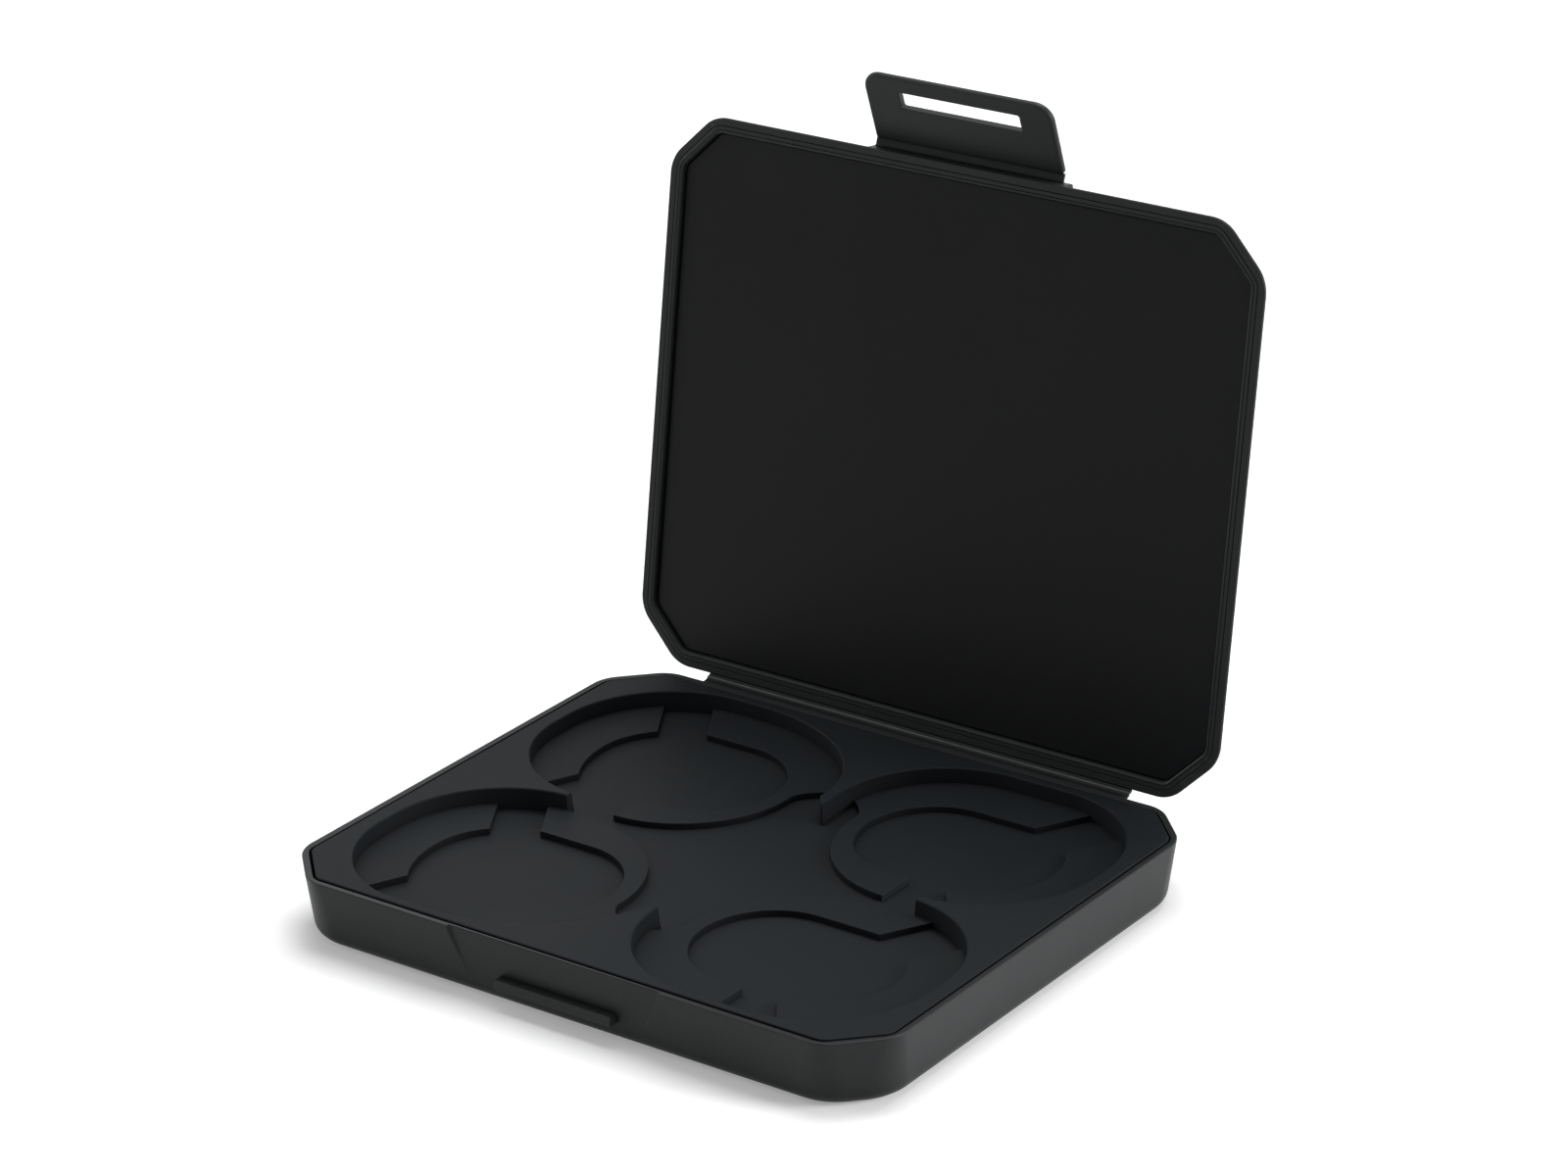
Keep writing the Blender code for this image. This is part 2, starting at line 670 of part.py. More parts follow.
def build_flap(parts, cutters, material):
    """The clasp flap hanging straight down from its axis, with the slot that takes the catch."""
    axis = clasp_axis()
    top = axis.y - FLAP_HANG
    outline = [
        (-FLAP_HALF_WIDTH, top - FLAP_LENGTH),
        (FLAP_HALF_WIDTH, top - FLAP_LENGTH),
        (FLAP_HALF_WIDTH, top),
        (-FLAP_HALF_WIDTH, top),
    ]
    plan = filleted(outline, [FLAP_CORNER, FLAP_CORNER, 0.0, 0.0], CORNER_STEPS)
    inner = -axis.x + FLAP_STAND_OUT
    flap = prism("clasp_flap", parts, plan, inner, inner + FLAP_THICK, STANDING, material)
    bevel(flap, FLAP_ROUND)
    slot = [
        (-SLOT_HALF_WIDTH, top - SLOT_END),
        (SLOT_HALF_WIDTH, top - SLOT_END),
        (SLOT_HALF_WIDTH, top - SLOT_START),
        (-SLOT_HALF_WIDTH, top - SLOT_START),
    ]
    opening = filleted(slot, [SLOT_CORNER] * 4, ROUND_STEPS)
    cutter = prism("slot_cutter", cutters, opening, inner - PAST, inner + FLAP_THICK + PAST, STANDING)
    combine(flap, cutter, "DIFFERENCE")
    return flap, cutter


def hang_on(things, name, place, collection, above=None):
    """Parents things to an empty on a joint's axis without moving them."""
    empty = bpy.data.objects.new(name, None)
    collection.objects.link(empty)
    empty.empty_display_size = 10 * MM
    if above:
        empty.parent = above
        empty.location = Vector(place) - above.location
    else:
        empty.location = place
    back = Matrix.Translation(-Vector(place))
    for thing in things:
        thing.parent = empty
        thing.matrix_parent_inverse = back
    return empty


def main():
    clear_scene()
    parts = new_collection("lens_filter_case")
    cutters = new_collection("cutters")
    shell = new_material("shell_plastic", SHELL_COLOUR, 0.45)
    soft = new_material("tray_rubber", TRAY_COLOUR, 0.75)
    satin = new_material("liner_satin", LINER_COLOUR, 0.35)

    build_base(parts, cutters, shell)
    build_tray(parts, cutters, soft)
    build_hinge_web(parts, shell)
    lid = build_lid(parts, cutters, shell)
    liner = build_liner(parts, satin)
    web = build_clasp_web(parts, shell)
    flap, slot = build_flap(parts, cutters, shell)

    hinge_place = (0.0, BACK + HINGE_OUT, BASE_HEIGHT - HINGE_DROP)
    boss = bpy.data.objects["clasp_boss"]
    lid_axis = hang_on([lid, liner, web, boss], "lid_axis", hinge_place, parts)
    axis = clasp_axis()
    clasp = hang_on([flap, slot], "clasp_axis", (0.0, axis.x, axis.y), parts, lid_axis)
    lid_axis.rotation_euler.x = math.radians(-OPEN_ANGLE)
    clasp.rotation_euler.x = math.radians(-FLAP_OPEN_ANGLE)
    bpy.context.view_layer.update()


main()
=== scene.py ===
"""Lens filter case, standing open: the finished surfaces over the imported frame.

Every piece is worked out with numpy as a grid of points: rings of the case's octagon at many heights, or a
section carried along a line. The tray's wells are carved out of it and its shelves joined on. Lengths are in
metres, +Z is up and the front of the case faces -Y.
"""
import math

import bpy
import numpy as np
from bpy.props import FloatProperty, FloatVectorProperty, PointerProperty
from bpy.types import Operator, Panel, PropertyGroup
from mathutils import Matrix, Vector


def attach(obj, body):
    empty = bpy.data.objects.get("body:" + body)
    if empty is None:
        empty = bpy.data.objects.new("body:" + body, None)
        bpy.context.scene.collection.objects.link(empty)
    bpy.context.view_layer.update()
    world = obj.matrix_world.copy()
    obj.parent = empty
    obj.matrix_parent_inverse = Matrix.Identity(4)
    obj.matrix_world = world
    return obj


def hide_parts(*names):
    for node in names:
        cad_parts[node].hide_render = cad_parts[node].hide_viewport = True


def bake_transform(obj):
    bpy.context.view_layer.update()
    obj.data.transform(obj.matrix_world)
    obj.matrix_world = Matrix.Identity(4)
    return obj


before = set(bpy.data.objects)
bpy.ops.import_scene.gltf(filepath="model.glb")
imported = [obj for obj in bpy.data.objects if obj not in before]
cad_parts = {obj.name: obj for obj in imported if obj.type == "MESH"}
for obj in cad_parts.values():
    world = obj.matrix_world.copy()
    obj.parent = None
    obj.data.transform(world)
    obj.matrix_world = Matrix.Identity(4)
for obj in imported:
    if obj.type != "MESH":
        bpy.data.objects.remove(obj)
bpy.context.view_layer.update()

bl_info = {
    "name": "Lens filter case",
    "version": (1, 0, 0),
    "blender": (4, 5, 0),
    "location": "3D View > Sidebar > Filter Case",
    "description": "Builds the finished surfaces, materials and studio of an open lens filter case",
    "category": "Object",
}

MM = 0.001

# Base: the wall leans in towards the foot, and the rim slopes down to the seam
WALL = 1.45 * MM
BASE_DRAFT = 0.12
FOOT_RADIUS = 2.4 * MM
FLOOR_ROUND = 0.5 * MM
RIM_WIDTH = 1.1 * MM
RIM_TILT = 0.12 * MM
RIM_ROUND = 0.22 * MM
RIM_INNER_ROUND = 0.12 * MM
FRONT_COLUMNS = 400
ROW_STEP = 0.3 * MM

# Recess and catch on the front wall
RECESS_MIDDLE = -0.7 * MM
RECESS_HALF_TOP = 19.5 * MM
RECESS_HALF_LOW = 16.1 * MM
RECESS_DEPTH = 0.56 * MM
RECESS_DROP = 7.6 * MM
RECESS_EDGE = 0.12 * MM
FRONT_BAND = 3.0 * MM
CATCH_UNDER = 3.3 * MM
CATCH_HEIGHT = 1.55 * MM
CATCH_LEDGE = 1.33 * MM
CATCH_OUT = 1.749 * MM
CATCH_NOSE = 0.15 * MM
CATCH_HALF = 10.75 * MM
CATCH_MIDDLE = -0.15 * MM
CATCH_END_SLOPE = 0.1 * MM
CATCH_ROUND = 0.22 * MM

# Tray: its fit in the base, and the levels of its wells
SEAM_WIDTH = 0.32 * MM
TRAY_BACK = 0.12 * MM
TRAY_CLEARANCE = 0.3 * MM
SHELF_DEPTH = 2.53 * MM
SHELF_ROUND = 0.32 * MM
SHELF_LAP = 0.42 * MM
FLOOR_DEPTH = 3.56 * MM
WELL_DRAFT = 0.06
BRIM_PAST = 0.3
CUT_PAST = 2.0 * MM

# Wells as (middle, half width, nose), seats as (middle, stretch, radius in front)
WELL_Y = 21.45 * MM
WELL_HALF_Y = 20.85 * MM
WELL_CORNER = 19.2 * MM
LEFT_WELL = (-26.73 * MM, 24.1 * MM, 27.06 * MM)
RIGHT_WELL = (26.6 * MM, 24.35 * MM)
SEAT_Y = 21.0 * MM
SEAT_RADIUS = 12.2 * MM
SEATS = {-1: (-25.55 * MM, 8.7 * MM, 15.8 * MM), 1: (25.85 * MM, 9.3 * MM, 12.2 * MM)}

# Breaks in the left and right shelves, placed from the well's middle: a channel as (middle, width, degrees),
# a gap as (sloped end, degrees, upright end)
CHANNELS = {-1: ((-9.93 * MM, 13.7 * MM), 8.0 * MM, 120.5), 1: ((11.1 * MM, 13.1 * MM), 9.5 * MM, 60.0)}
CHANNEL_REACH = 9.76 * MM
RIGHT_STOP = -1.6 * MM
GAPS = {-1: ((-12.98 * MM, -12.03 * MM), 244.0, 1.2 * MM), 1: ((5.4 * MM, -13.1 * MM), 305.9, RIGHT_STOP)}
GAP_PAST = 4.0 * MM

# The shelves' side towards the middle: an arc as (x, y, radius, degrees), then the points of a shoulder
RING = (25.6 * MM, 21.2 * MM, 19.4 * MM, 2.5)
SHOULDER = np.array([(5.85, 23.1), (5.05, 24.2), (4.1, 25.1), (3.1, 25.9), (1.8, 26.8)]) * MM
TRIM_PAST = (4.0 * MM, 2.0 * MM)

# Finger well: its two points, and the dividers' tips as (x, y at the back, y in front) with a cut beside them
FINGER_LEFT = 32.6 * MM
FINGER_RIGHT = 32.8 * MM
FINGER_POINT = 1.0 * MM
FINGER_SIDES = (-3.9 * MM, 5.1 * MM)
DIVIDER_TIP = (2.1 * MM, 18.3 * MM, 23.2 * MM)
DIVIDER_CUT = (-0.3 * MM, 3.2 * MM)

# Lid and liner
LID_GAP = 0.1 * MM
LID_SLOPE = 0.8
LID_EDGE = 0.3 * MM
LID_LEAD = 4.0 * MM
LID_ROUND = 1.6 * MM
LID_LOWER_ROUND = 0.3 * MM
FLANGE_SIDE = 0.5 * MM
FLANGE_ROUND = 0.42 * MM
LIP_CLEARANCE = 0.07 * MM
LIP_WIDTH = 0.99 * MM
LIP_PROUD = 0.08 * MM
LINER_DROP = 0.95 * MM
LINER_GAP = 0.08 * MM
LINER_THICK = 0.6 * MM
LINER_ROUNDS = (0.1 * MM, 0.2 * MM)
LINER_SEAT = 0.9 * MM
SEAT_ROUND = 0.1 * MM
SEAT_LEAD = 1.0 * MM

# Two grooves with a ridge between them, and the lip, as (height, distance in, rounding): the grooves from the
# flange and the lip's outer side, the lip from its crest and its inner side
GROOVES = np.array([(0.0, -0.34, 0.08), (0.14, -0.26, 0.0), (-0.04, -0.18, 0.05), (-0.04, 0.36, 0.05),
                    (0.07, 0.44, 0.0)]) * MM
LIP_EDGE = np.array([(0.0, -0.47, 0.08), (0.03, -0.26, 0.2), (0.15, -0.08, 0.2), (0.42, 0.0, 0.2)]) * MM

# Boss behind the lid's front: (distance in, height over the flange)
BOSS = np.array([(0.05, 0.15), (0.05, 3.5), (1.85, 3.5), (3.05, 2.0), (0.81, 0.15)]) * MM
BOSS_HALF = 18.3 * MM
BOSS_ROUND = 0.4 * MM

# Webs: a bead is (share of the way across, spread, height)
HINGE_OUT = 1.04 * MM
HINGE_DROP = 0.27 * MM
HINGE_HALF_WIDTH = 40.3 * MM
HINGE_LAP = 0.12
HINGE_SAG = 0.16 * MM
HINGE_SINK = 0.04 * MM
HINGE_THICK = 0.4 * MM
HINGE_BEAD = (0.66, 0.12, 0.2 * MM)
# How far from the bead's crest the painted highlight reaches, in spreads
FOLD_HIGHLIGHT_REACH = 0.75
CLASP_OUT = 0.28 * MM
CLASP_UP = 2.58 * MM
CLASP_HALF_THICK = 0.175 * MM
CLASP_BEAD = (0.12, 0.08, 0.12 * MM)
CLASP_SPAN = (-0.1, 1.18)
CLASP_IN_BOSS = 0.15 * MM
CLASP_IN_FLAP = (0.4 * MM, 0.1 * MM)

# Flap: corner radii below and above, and the slot as (low, high, half width), measured down from the top
FLAP_STAND_OUT = 0.23 * MM
FLAP_HANG = 0.74 * MM
FLAP_MIDDLE = -0.4 * MM
FLAP_ROUND = 0.5 * MM
FLAP_CORNERS = (3.0 * MM, 0.7 * MM)
FLAT_CORNERS = (3.0 * MM, 2.0 * MM)
FLAT_EDGE = 0.35 * MM
SLOT = (9.74 * MM, 6.88 * MM, 11.05 * MM)
SLOT_CORNER = 0.35 * MM
SLOT_MIDDLE = -0.25 * MM
SLOT_EDGE = 0.4

# Grids: the least radii, columns of the octagon's corners and sides, steps in a round edge, along a curve of
# the tray and in a corner of the flap, rows and columns of the webs, the flat ring that leads to a cap, and
# the most that a round takes of the line beside it
LEAST = 0.05 * MM
LEAST_CORNER = 1.2 * MM
HAIR = 0.01 * MM
BEND = 12
SIDE_COLUMNS = 4
FRONT_SIDE = 5
EDGE_STEPS = 6
CURVE_STEPS = 40
FLAP_STEPS = 10
HINGE_GRID = (63, 41)
CLASP_GRID = (49, 21)
CAP_LEAD = 3.0 * MM
MOST_SHARE = 0.49
TINY = 1e-300

# Surfaces: fineness and height of the grain, fineness of the patches, how far the tone wanders, how many
# times lighter the edges are painted, as worn edges and painted highlight, share of dust, specular level
# and how far from a corner the painted shade begins
SURFACES = {
    "grained_shell": (2600.0, 0.012 * MM, 60.0, 0.10, 2.0, 0.01, 0.15, 0.8 * MM),
    "shaded_hinge": (1500.0, 0.004 * MM, 300.0, 0.12, 4.5, 0.0, 0.12, 0.6 * MM),
    "fold_whitening_and_highlight": (1500.0, 0.004 * MM, 500.0, 0.6, 1.0, 0.0, 0.2, 0.1 * MM),
    "soft_rubber": (3200.0, 0.010 * MM, 45.0, 0.16, 1.0, 0.02, 0.10, 2.4 * MM),
    "rubber_painted_lighter": (3200.0, 0.010 * MM, 45.0, 0.16, 1.0, 0.02, 0.10, 0.05 * MM),
    "satin_panel": (4200.0, 0.004 * MM, 40.0, 0.14, 1.2, 0.035, 0.12, 0.4 * MM),
}
SHELL = ("grained_shell", "shell_plastic")
# The webs' plastic: the shell colour darkened, as painted shade
SHADED_HINGE = ("shaded_hinge", "hinge_plastic")
# Fold line: a painted highlight along the hinge bead, with its stress whitening
FOLD_HIGHLIGHT_COLOUR = (0.075, 0.078, 0.080)
FOLD_HIGHLIGHT_ROUGH = 0.25
# Share of the shell colour that the webs keep: a darker copy, painted shade
HINGE_SHADE_TONE = 0.62
WORKED_ROUGH = 0.3
# Painted light on the right shelves' upright ends: how much lighter, and how far the faces turn to +X
END_PAINTED_LIGHT = 1.5
END_FACING = 0.3
TONES = (0.3, 0.7)
GLOSS_SPREAD = 0.03
# Painted corner shade: the share of the colour it darkens to, and the openness over which it sets in
CORNER_SHADE = 0.2
OPEN_SKY, CLOSED_SKY = 0.9, 0.35
# Edges painted lighter, as worn edges and as painted highlight: where the pointiness turns, and how noise
# breaks it up
WEAR_AND_HIGHLIGHT_TURN = (0.53, 0.60)
WEAR_AND_HIGHLIGHT_BREAKS = (0.35, 0.65, 0.35)
DUST_COLOUR = (0.16, 0.17, 0.17, 1.0)
DUST_CELLS = 210.0
DUST_SIZE = 0.045

# Studio: lamps as (place, aim, side, watts), and the camera that was fitted to the photograph
LAMPS = {
    "left_softbox": ((-0.85, -0.32, 0.28), (0.0, 0.0, 0.02), 0.4, 1.7),
    "right_softbox": ((0.85, 0.38, 0.32), (0.0, 0.0, 0.03), 0.4, 8.5),
    "top_softbox": ((-0.05, 0.27, 0.90), (0.0, 0.0, 0.0), 0.6, 7.5),
}
WHITE = (1.0, 1.0, 1.0, 1.0)
PAPER = (0.86, 0.86, 0.86, 1.0)
PAPER_ROUGH = 0.9
PAPER_SHINE = 0.1
FLOOR_GLOW = 0.25
WORLD_LIGHT = 0.22
FLOOR_HALF = 1.6
FLOOR_DROP = 0.02 * MM
SENSOR = 36.0
CLIP = (0.01, 10.0)
LENS = 116.95
SHIFT = (-0.00184, 0.00198)
EYE = (0.41742284, -0.55117997, 0.3501421)
FORWARD = (-0.54566956, 0.73869188, -0.3957007)
ROLL = -1.533


def size_value(name, description, millimetres):
    """A length that a user may change."""
    return FloatProperty(name=name, description=description, default=millimetres * MM, unit="LENGTH")


def share_value(name, description, default):
    """A share from 0 to 1 that a user may change."""
    return FloatProperty(name=name, description=description, default=default, min=0.0, max=1.0,
                         subtype="FACTOR")


def colour_value(name, description, default):
    """A colour that a user may change."""
    return FloatVectorProperty(name=name, description=description, default=default, min=0.0, max=1.0,
                               subtype="COLOR")


class FILTERCASE_sizes(PropertyGroup):
    """Main sizes of the shells, the tray and the clasp."""

    width: size_value("Width", "Case width over the rim", 110.0)
    depth: size_value("Depth", "Case depth over the rim", 90.5)
    corner_leg: size_value("Corner leg", "How much of each side the slanted corner takes", 7.9)
    corner_radius: size_value("Outer corner radius", "Rounding of the eight outer corners", 6.0)
    foot_corner: size_value("Foot corner radius", "Rounding of the eight corners at the foot", 9.5)
    seam_radius: size_value("Seam corner radius", "Rounding of the corners along the tray", 3.0)
    base_height: size_value("Base height", "Height of the base's rim", 10.9)
    lid_height: size_value("Lid height", "Height of the lid over its flange", 4.0)
    tray_sink: size_value("Tray sink", "How far the tray lies under the rim", 0.02)
    tray_round: size_value("Tray rounding", "Soft rounding of the tray's upper edges", 0.3)
    flap_length: size_value("Flap length", "Length of the clasp flap", 12.45)
    flap_half: size_value("Flap half width", "Half the width of the clasp flap", 17.3)
    flap_thick: size_value("Flap thickness", "Thickness of the clasp flap", 1.2)
    open_angle: FloatProperty(name="Lid angle", description="How far the lid stands open, in degrees",
                              default=99.5)
    flap_angle: FloatProperty(name="Flap angle", description="How far the flap is lifted, in degrees",
                              default=62.4)


class FILTERCASE_finishes(PropertyGroup):
    """Colours and roughness of the shells, the tray and the panel."""

    shell: colour_value("Shell colour", "Colour of the moulded shells", (0.018, 0.020, 0.0205))
    tray: colour_value("Tray colour", "Colour of the soft tray", (0.0065, 0.0083, 0.0100))
    liner: colour_value("Liner colour", "Colour of the satin panel in the lid", (0.0046, 0.0050, 0.0058))
    shell_rough: share_value("Shell roughness", "Roughness of the moulded shells", 0.42)
    tray_rough: share_value("Tray roughness", "Roughness of the soft tray", 0.62)
    liner_rough: share_value("Liner roughness", "Roughness of the panel in the lid", 0.36)


# Surfaces from grids

def put_mesh(name, points, wrap_rows=False):
    """A mesh from a grid of points. Columns always wrap round; rows wrap when the section is closed, and
    otherwise the first and last row are closed by one face each. Faces are turned to point outwards."""
    rows, columns = points.shape[:2]
    index = np.arange(rows * columns).reshape(rows, columns)
    after = np.roll(index, -1, axis=1)
    above = np.roll(index, -1, axis=0) if wrap_rows else index[1:]
    above_after = np.roll(above, -1, axis=1)
    low = index if wrap_rows else index[:-1]
    low_after = after if wrap_rows else after[:-1]
    quads = np.stack([low, low_after, above_after, above], axis=-1).reshape(-1, 4)
    flat = points.reshape(-1, 3)
    corner = flat[quads]
    cross = np.cross(corner[:, 2] - corner[:, 0], corner[:, 3] - corner[:, 1])
    volume = np.einsum("ij,ij->", corner.mean(axis=1) - flat.mean(axis=0), cross)
    faces = quads.tolist()
    if not wrap_rows:
        faces += [index[0][::-1].tolist(), index[-1].tolist()]
    if volume < 0.0:
        faces = [face[::-1] for face in faces]
    mesh = bpy.data.meshes.new(name)
    mesh.from_pydata(flat.tolist(), [], faces)
    mesh.validate()
    return show(name, mesh)


def show(name, data):
    """Links a mesh, a lamp or a camera to the scene as an object."""
    thing = bpy.data.objects.new(name, data)
    bpy.context.scene.collection.objects.link(thing)
    return thing


def smooth(thing, degrees=30.0):
    """Smooth rounds with crisp edges, and flat faces that keep their own normal: at each corner of a face the
    normal is the mean over the faces round that point that turn away by less than the angle, each weighted
    by the square of its area."""
    mesh = thing.data
    mesh.shade_smooth()
    count = len(mesh.polygons)
    normal = np.empty(count * 3)
    area = np.empty(count)
    sides = np.empty(count, int)
    point = np.empty(len(mesh.loops), int)
    mesh.polygons.foreach_get("normal", normal)
    mesh.polygons.foreach_get("area", area)
    mesh.polygons.foreach_get("loop_total", sides)
    mesh.loops.foreach_get("vertex_index", point)
    normal = normal.reshape(-1, 3)
    face = np.repeat(np.arange(count), sides)
    order = np.argsort(point, kind="stable")
    first = np.searchsorted(point[order], point)
    size = np.searchsorted(point[order], point, side="right") - first
    corner = np.repeat(np.arange(len(point)), size)
    step = np.arange(size.sum()) - np.repeat(np.cumsum(size) - size, size)
    other = face[order[np.repeat(first, size) + step]]
    near = np.einsum("ij,ij->i", normal[face[corner]], normal[other]) > math.cos(math.radians(degrees))
    weight = near * (area[other] / area.max()) ** 2
    total = np.stack([np.bincount(corner, weight * normal[other, k], len(point)) for k in range(3)], axis=-1)
    length = np.linalg.norm(total, axis=1, keepdims=True)
    total = np.where(length > 0.0, total / np.maximum(length, TINY), normal[face])
    mesh.normals_split_custom_set(total.tolist())
    return thing


def settle(thing):
    """Writes the modifiers into the mesh, under the mesh's old name."""
    bpy.context.view_layer.update()
    seen = thing.evaluated_get(bpy.context.evaluated_depsgraph_get())
    mesh = bpy.data.meshes.new_from_object(seen)
    old = thing.data
    thing.modifiers.clear()
    thing.data = mesh
    mesh.name = old.name
    bpy.data.meshes.remove(old)
    return thing


def turned_profile(points, radii):
    """An open line of (height, inset) points with each corner turned by an arc of its radius: the arc starts
    and ends radius / tan(half the corner's angle) away from the corner."""
    points = np.asarray(points, float)
    result = [points[0]]
    for corner, before, beyond, radius in zip(points[1:-1], points[:-2], points[2:], radii[1:-1]):
        if radius <= 0.0:
            result.append(corner)
            continue
        back = before - corner
        ahead = beyond - corner
        length_back, length_ahead = np.linalg.norm(back), np.linalg.norm(ahead)
        back, ahead = back / length_back, ahead / length_ahead
        half = math.acos(np.clip(back @ ahead, -1.0, 1.0)) / 2
        reach = min(radius / math.tan(half), MOST_SHARE * min(length_back, length_ahead))
        middle = (back + ahead) / np.linalg.norm(back + ahead)
        centre = corner + middle * reach / math.cos(half)
        first = corner + back * reach - centre
        last = corner + ahead * reach - centre
        turn = math.atan2(first[0] * last[1] - first[1] * last[0], first @ last)
        swing = np.linspace(0.0, turn, EDGE_STEPS + 1)[:, None]
        side = np.array([-first[1], first[0]])
        result.extend(centre + first * np.cos(swing) + side * np.sin(swing))
    result.append(points[-1])
    return np.array(result)


def octagon(sizes, inset, radius, front_columns=SIDE_COLUMNS):
    """Rings of the rounded octagon, one for each inset and corner radius. Side k faces k * 45 degrees and
    lies at its distance from the middle less the inset. Each corner is an arc about the point that lies one
    radius inside both sides, and the sides run straight between the arcs."""
    inset = np.atleast_1d(np.asarray(inset, float))[:, None]
    radius = np.maximum(np.atleast_1d(np.asarray(radius, float)), LEAST_CORNER)[:, None]
    half_x, half_y = sizes.width / 2, sizes.depth / 2
    slant = (half_x + half_y - sizes.corner_leg) / math.sqrt(2)
    near = np.array([half_x, slant, half_y, slant] * 2) - inset - radius
    beyond = np.roll(near, -1, axis=1)
    part = math.sqrt(0.5)
    angle = np.radians(45.0 * np.arange(9))
    normal = np.stack([np.cos(angle), np.sin(angle)], axis=-1)
    centre = (2 * (near - beyond * part))[..., None] * normal[:8]
    centre = centre + (2 * (beyond - near * part))[..., None] * normal[1:]
    turn = angle[:8, None] + np.radians(45.0) * np.linspace(0.0, 1.0, BEND + 1)
    spoke = np.stack([np.cos(turn), np.sin(turn)], axis=-1)
    arcs = centre[:, :, None, :] + radius[:, :, None, None] * spoke
    columns = []
    for side in range(8):
        columns.append(arcs[:, side])
        start, end = arcs[:, side, -1:], arcs[:, (side + 1) % 8, :1]
        count = front_columns if side == FRONT_SIDE else SIDE_COLUMNS
        share = (np.arange(1, count) / count)[None, :, None]
        columns.append(start + (end - start) * share)
    return np.concatenate(columns, axis=1)


def corner_radii(sizes, depth, width):
    """Corner radii across a wall: the outer radius at its outside, the seam's radius at its inside, and from
    there on smaller by what the outline is drawn in further."""
    share = np.clip(depth / width, 0.0, 1.0)
    inner = sizes.seam_radius - np.maximum(depth - width, 0.0)
    return sizes.corner_radius + (inner - sizes.corner_radius) * share


def stacked(rings, heights):
    """Rings of (x, y) lifted to their heights."""
    tall = np.broadcast_to(np.asarray(heights, float)[:, None, None], rings.shape[:2] + (1,))
    return np.concatenate([rings, tall], axis=-1)


def swung(points, axis_y, axis_z, degrees):
    """Points turned about an axis along X: y' = y cos a - z sin a and z' = y sin a + z cos a."""
    angle = math.radians(degrees)
    y, z = points[..., 1] - axis_y, points[..., 2] - axis_z
    turned_y = axis_y + y * math.cos(angle) - z * math.sin(angle)
    turned_z = axis_z + y * math.sin(angle) + z * math.cos(angle)
    return np.stack([points[..., 0], turned_y, turned_z], axis=-1)


def with_lid(sizes, points):
    """Points of the closed lid, carried to where the lid stands open."""
    return swung(points, sizes.depth / 2 + HINGE_OUT, sizes.base_height - HINGE_DROP, -sizes.open_angle)


def with_flap(sizes, points):
    """Points of the flap hanging straight down from the closed lid, carried to where it stands."""
    axis_y, axis_z = clasp_axis(sizes)
    return with_lid(sizes, swung(points, axis_y, axis_z, -sizes.flap_angle))


def clasp_axis(sizes):
    """Where the flap turns while the lid is closed."""
    return -sizes.depth / 2 - CLASP_OUT, sizes.base_height + LID_GAP + CLASP_UP


def smoothstep(value, low, high):
    """0 below low, 1 above high, and 3 t^2 - 2 t^3 between."""
    share = np.clip((value - low) / (high - low), 0.0, 1.0)
    return share * share * (3.0 - 2.0 * share)


def along_x(section, places):
    """A (y, z) section carried along X, one ring for each place."""
    rings = np.empty((len(places), len(section), 3))
    rings[..., 0] = np.asarray(places)[:, None]
    rings[..., 1:] = section
    return rings


def round_edges(thing, width, degrees):
    """Rounds the edges that turn by more than the angle."""
    rounding = thing.modifiers.new("Rounding", "BEVEL")
    rounding.width = width
    rounding.segments = 4
    rounding.limit_method = "ANGLE"
    rounding.angle_limit = math.radians(degrees)
    return settle(thing)


# Finishes

def new_group(name, inputs, *results):
    """A shader node group. An input is a number with its default, or a vector where that is None. Gives the
    group, what can be read in it and what it has to be given."""
    group = bpy.data.node_groups.new(name, "ShaderNodeTree")
    for label, default in inputs.items():
        kind = "NodeSocketVector" if default is None else "NodeSocketFloat"
        made = group.interface.new_socket(name=label, in_out="INPUT", socket_type=kind)
        if default is not None:
            made.default_value = default
    for label in results:
        group.interface.new_socket(name=label, in_out="OUTPUT", socket_type="NodeSocketFloat")
    return group, group.nodes.new("NodeGroupInput").outputs, group.nodes.new("NodeGroupOutput").inputs


def node(tree, kind, links=(), **settings):
    """A node with its settings, and its inputs set to values or linked to sockets."""
    made = tree.nodes.new(kind)
    for key, value in settings.items():
        setattr(made, key, value)
    for key, value in dict(links).items():
        if isinstance(value, bpy.types.NodeSocket):
            tree.links.new(value, made.inputs[key])
        else:
            made.inputs[key].default_value = value
    return made


def maths(tree, operation, first, second):
    """The result of one sum or comparison."""
    return node(tree, "ShaderNodeMath", {0: first, 1: second}, operation=operation).outputs[0]


def ramp(tree, value, start, end, low=0.0, high=1.0):
    """A value carried evenly from one range into another, and held at both ends."""
    return node(tree, "ShaderNodeMapRange", {"Value": value, "From Min": start, "From Max": end,
                                             "To Min": low, "To Max": high}).outputs[0]


def noise(tree, place, scale, detail, rough=0.5):
    """Soft noise around 0.5."""
    return node(tree, "ShaderNodeTexNoise", {"Vector": place, "Scale": scale, "Detail": detail,
                                             "Roughness": rough}).outputs["Fac"]


def mixed(tree, mask, under, over):
    """One colour over another by a mask."""
    return node(tree, "ShaderNodeMix", {0: mask, 6: under, 7: over}, data_type="RGBA").outputs[2]


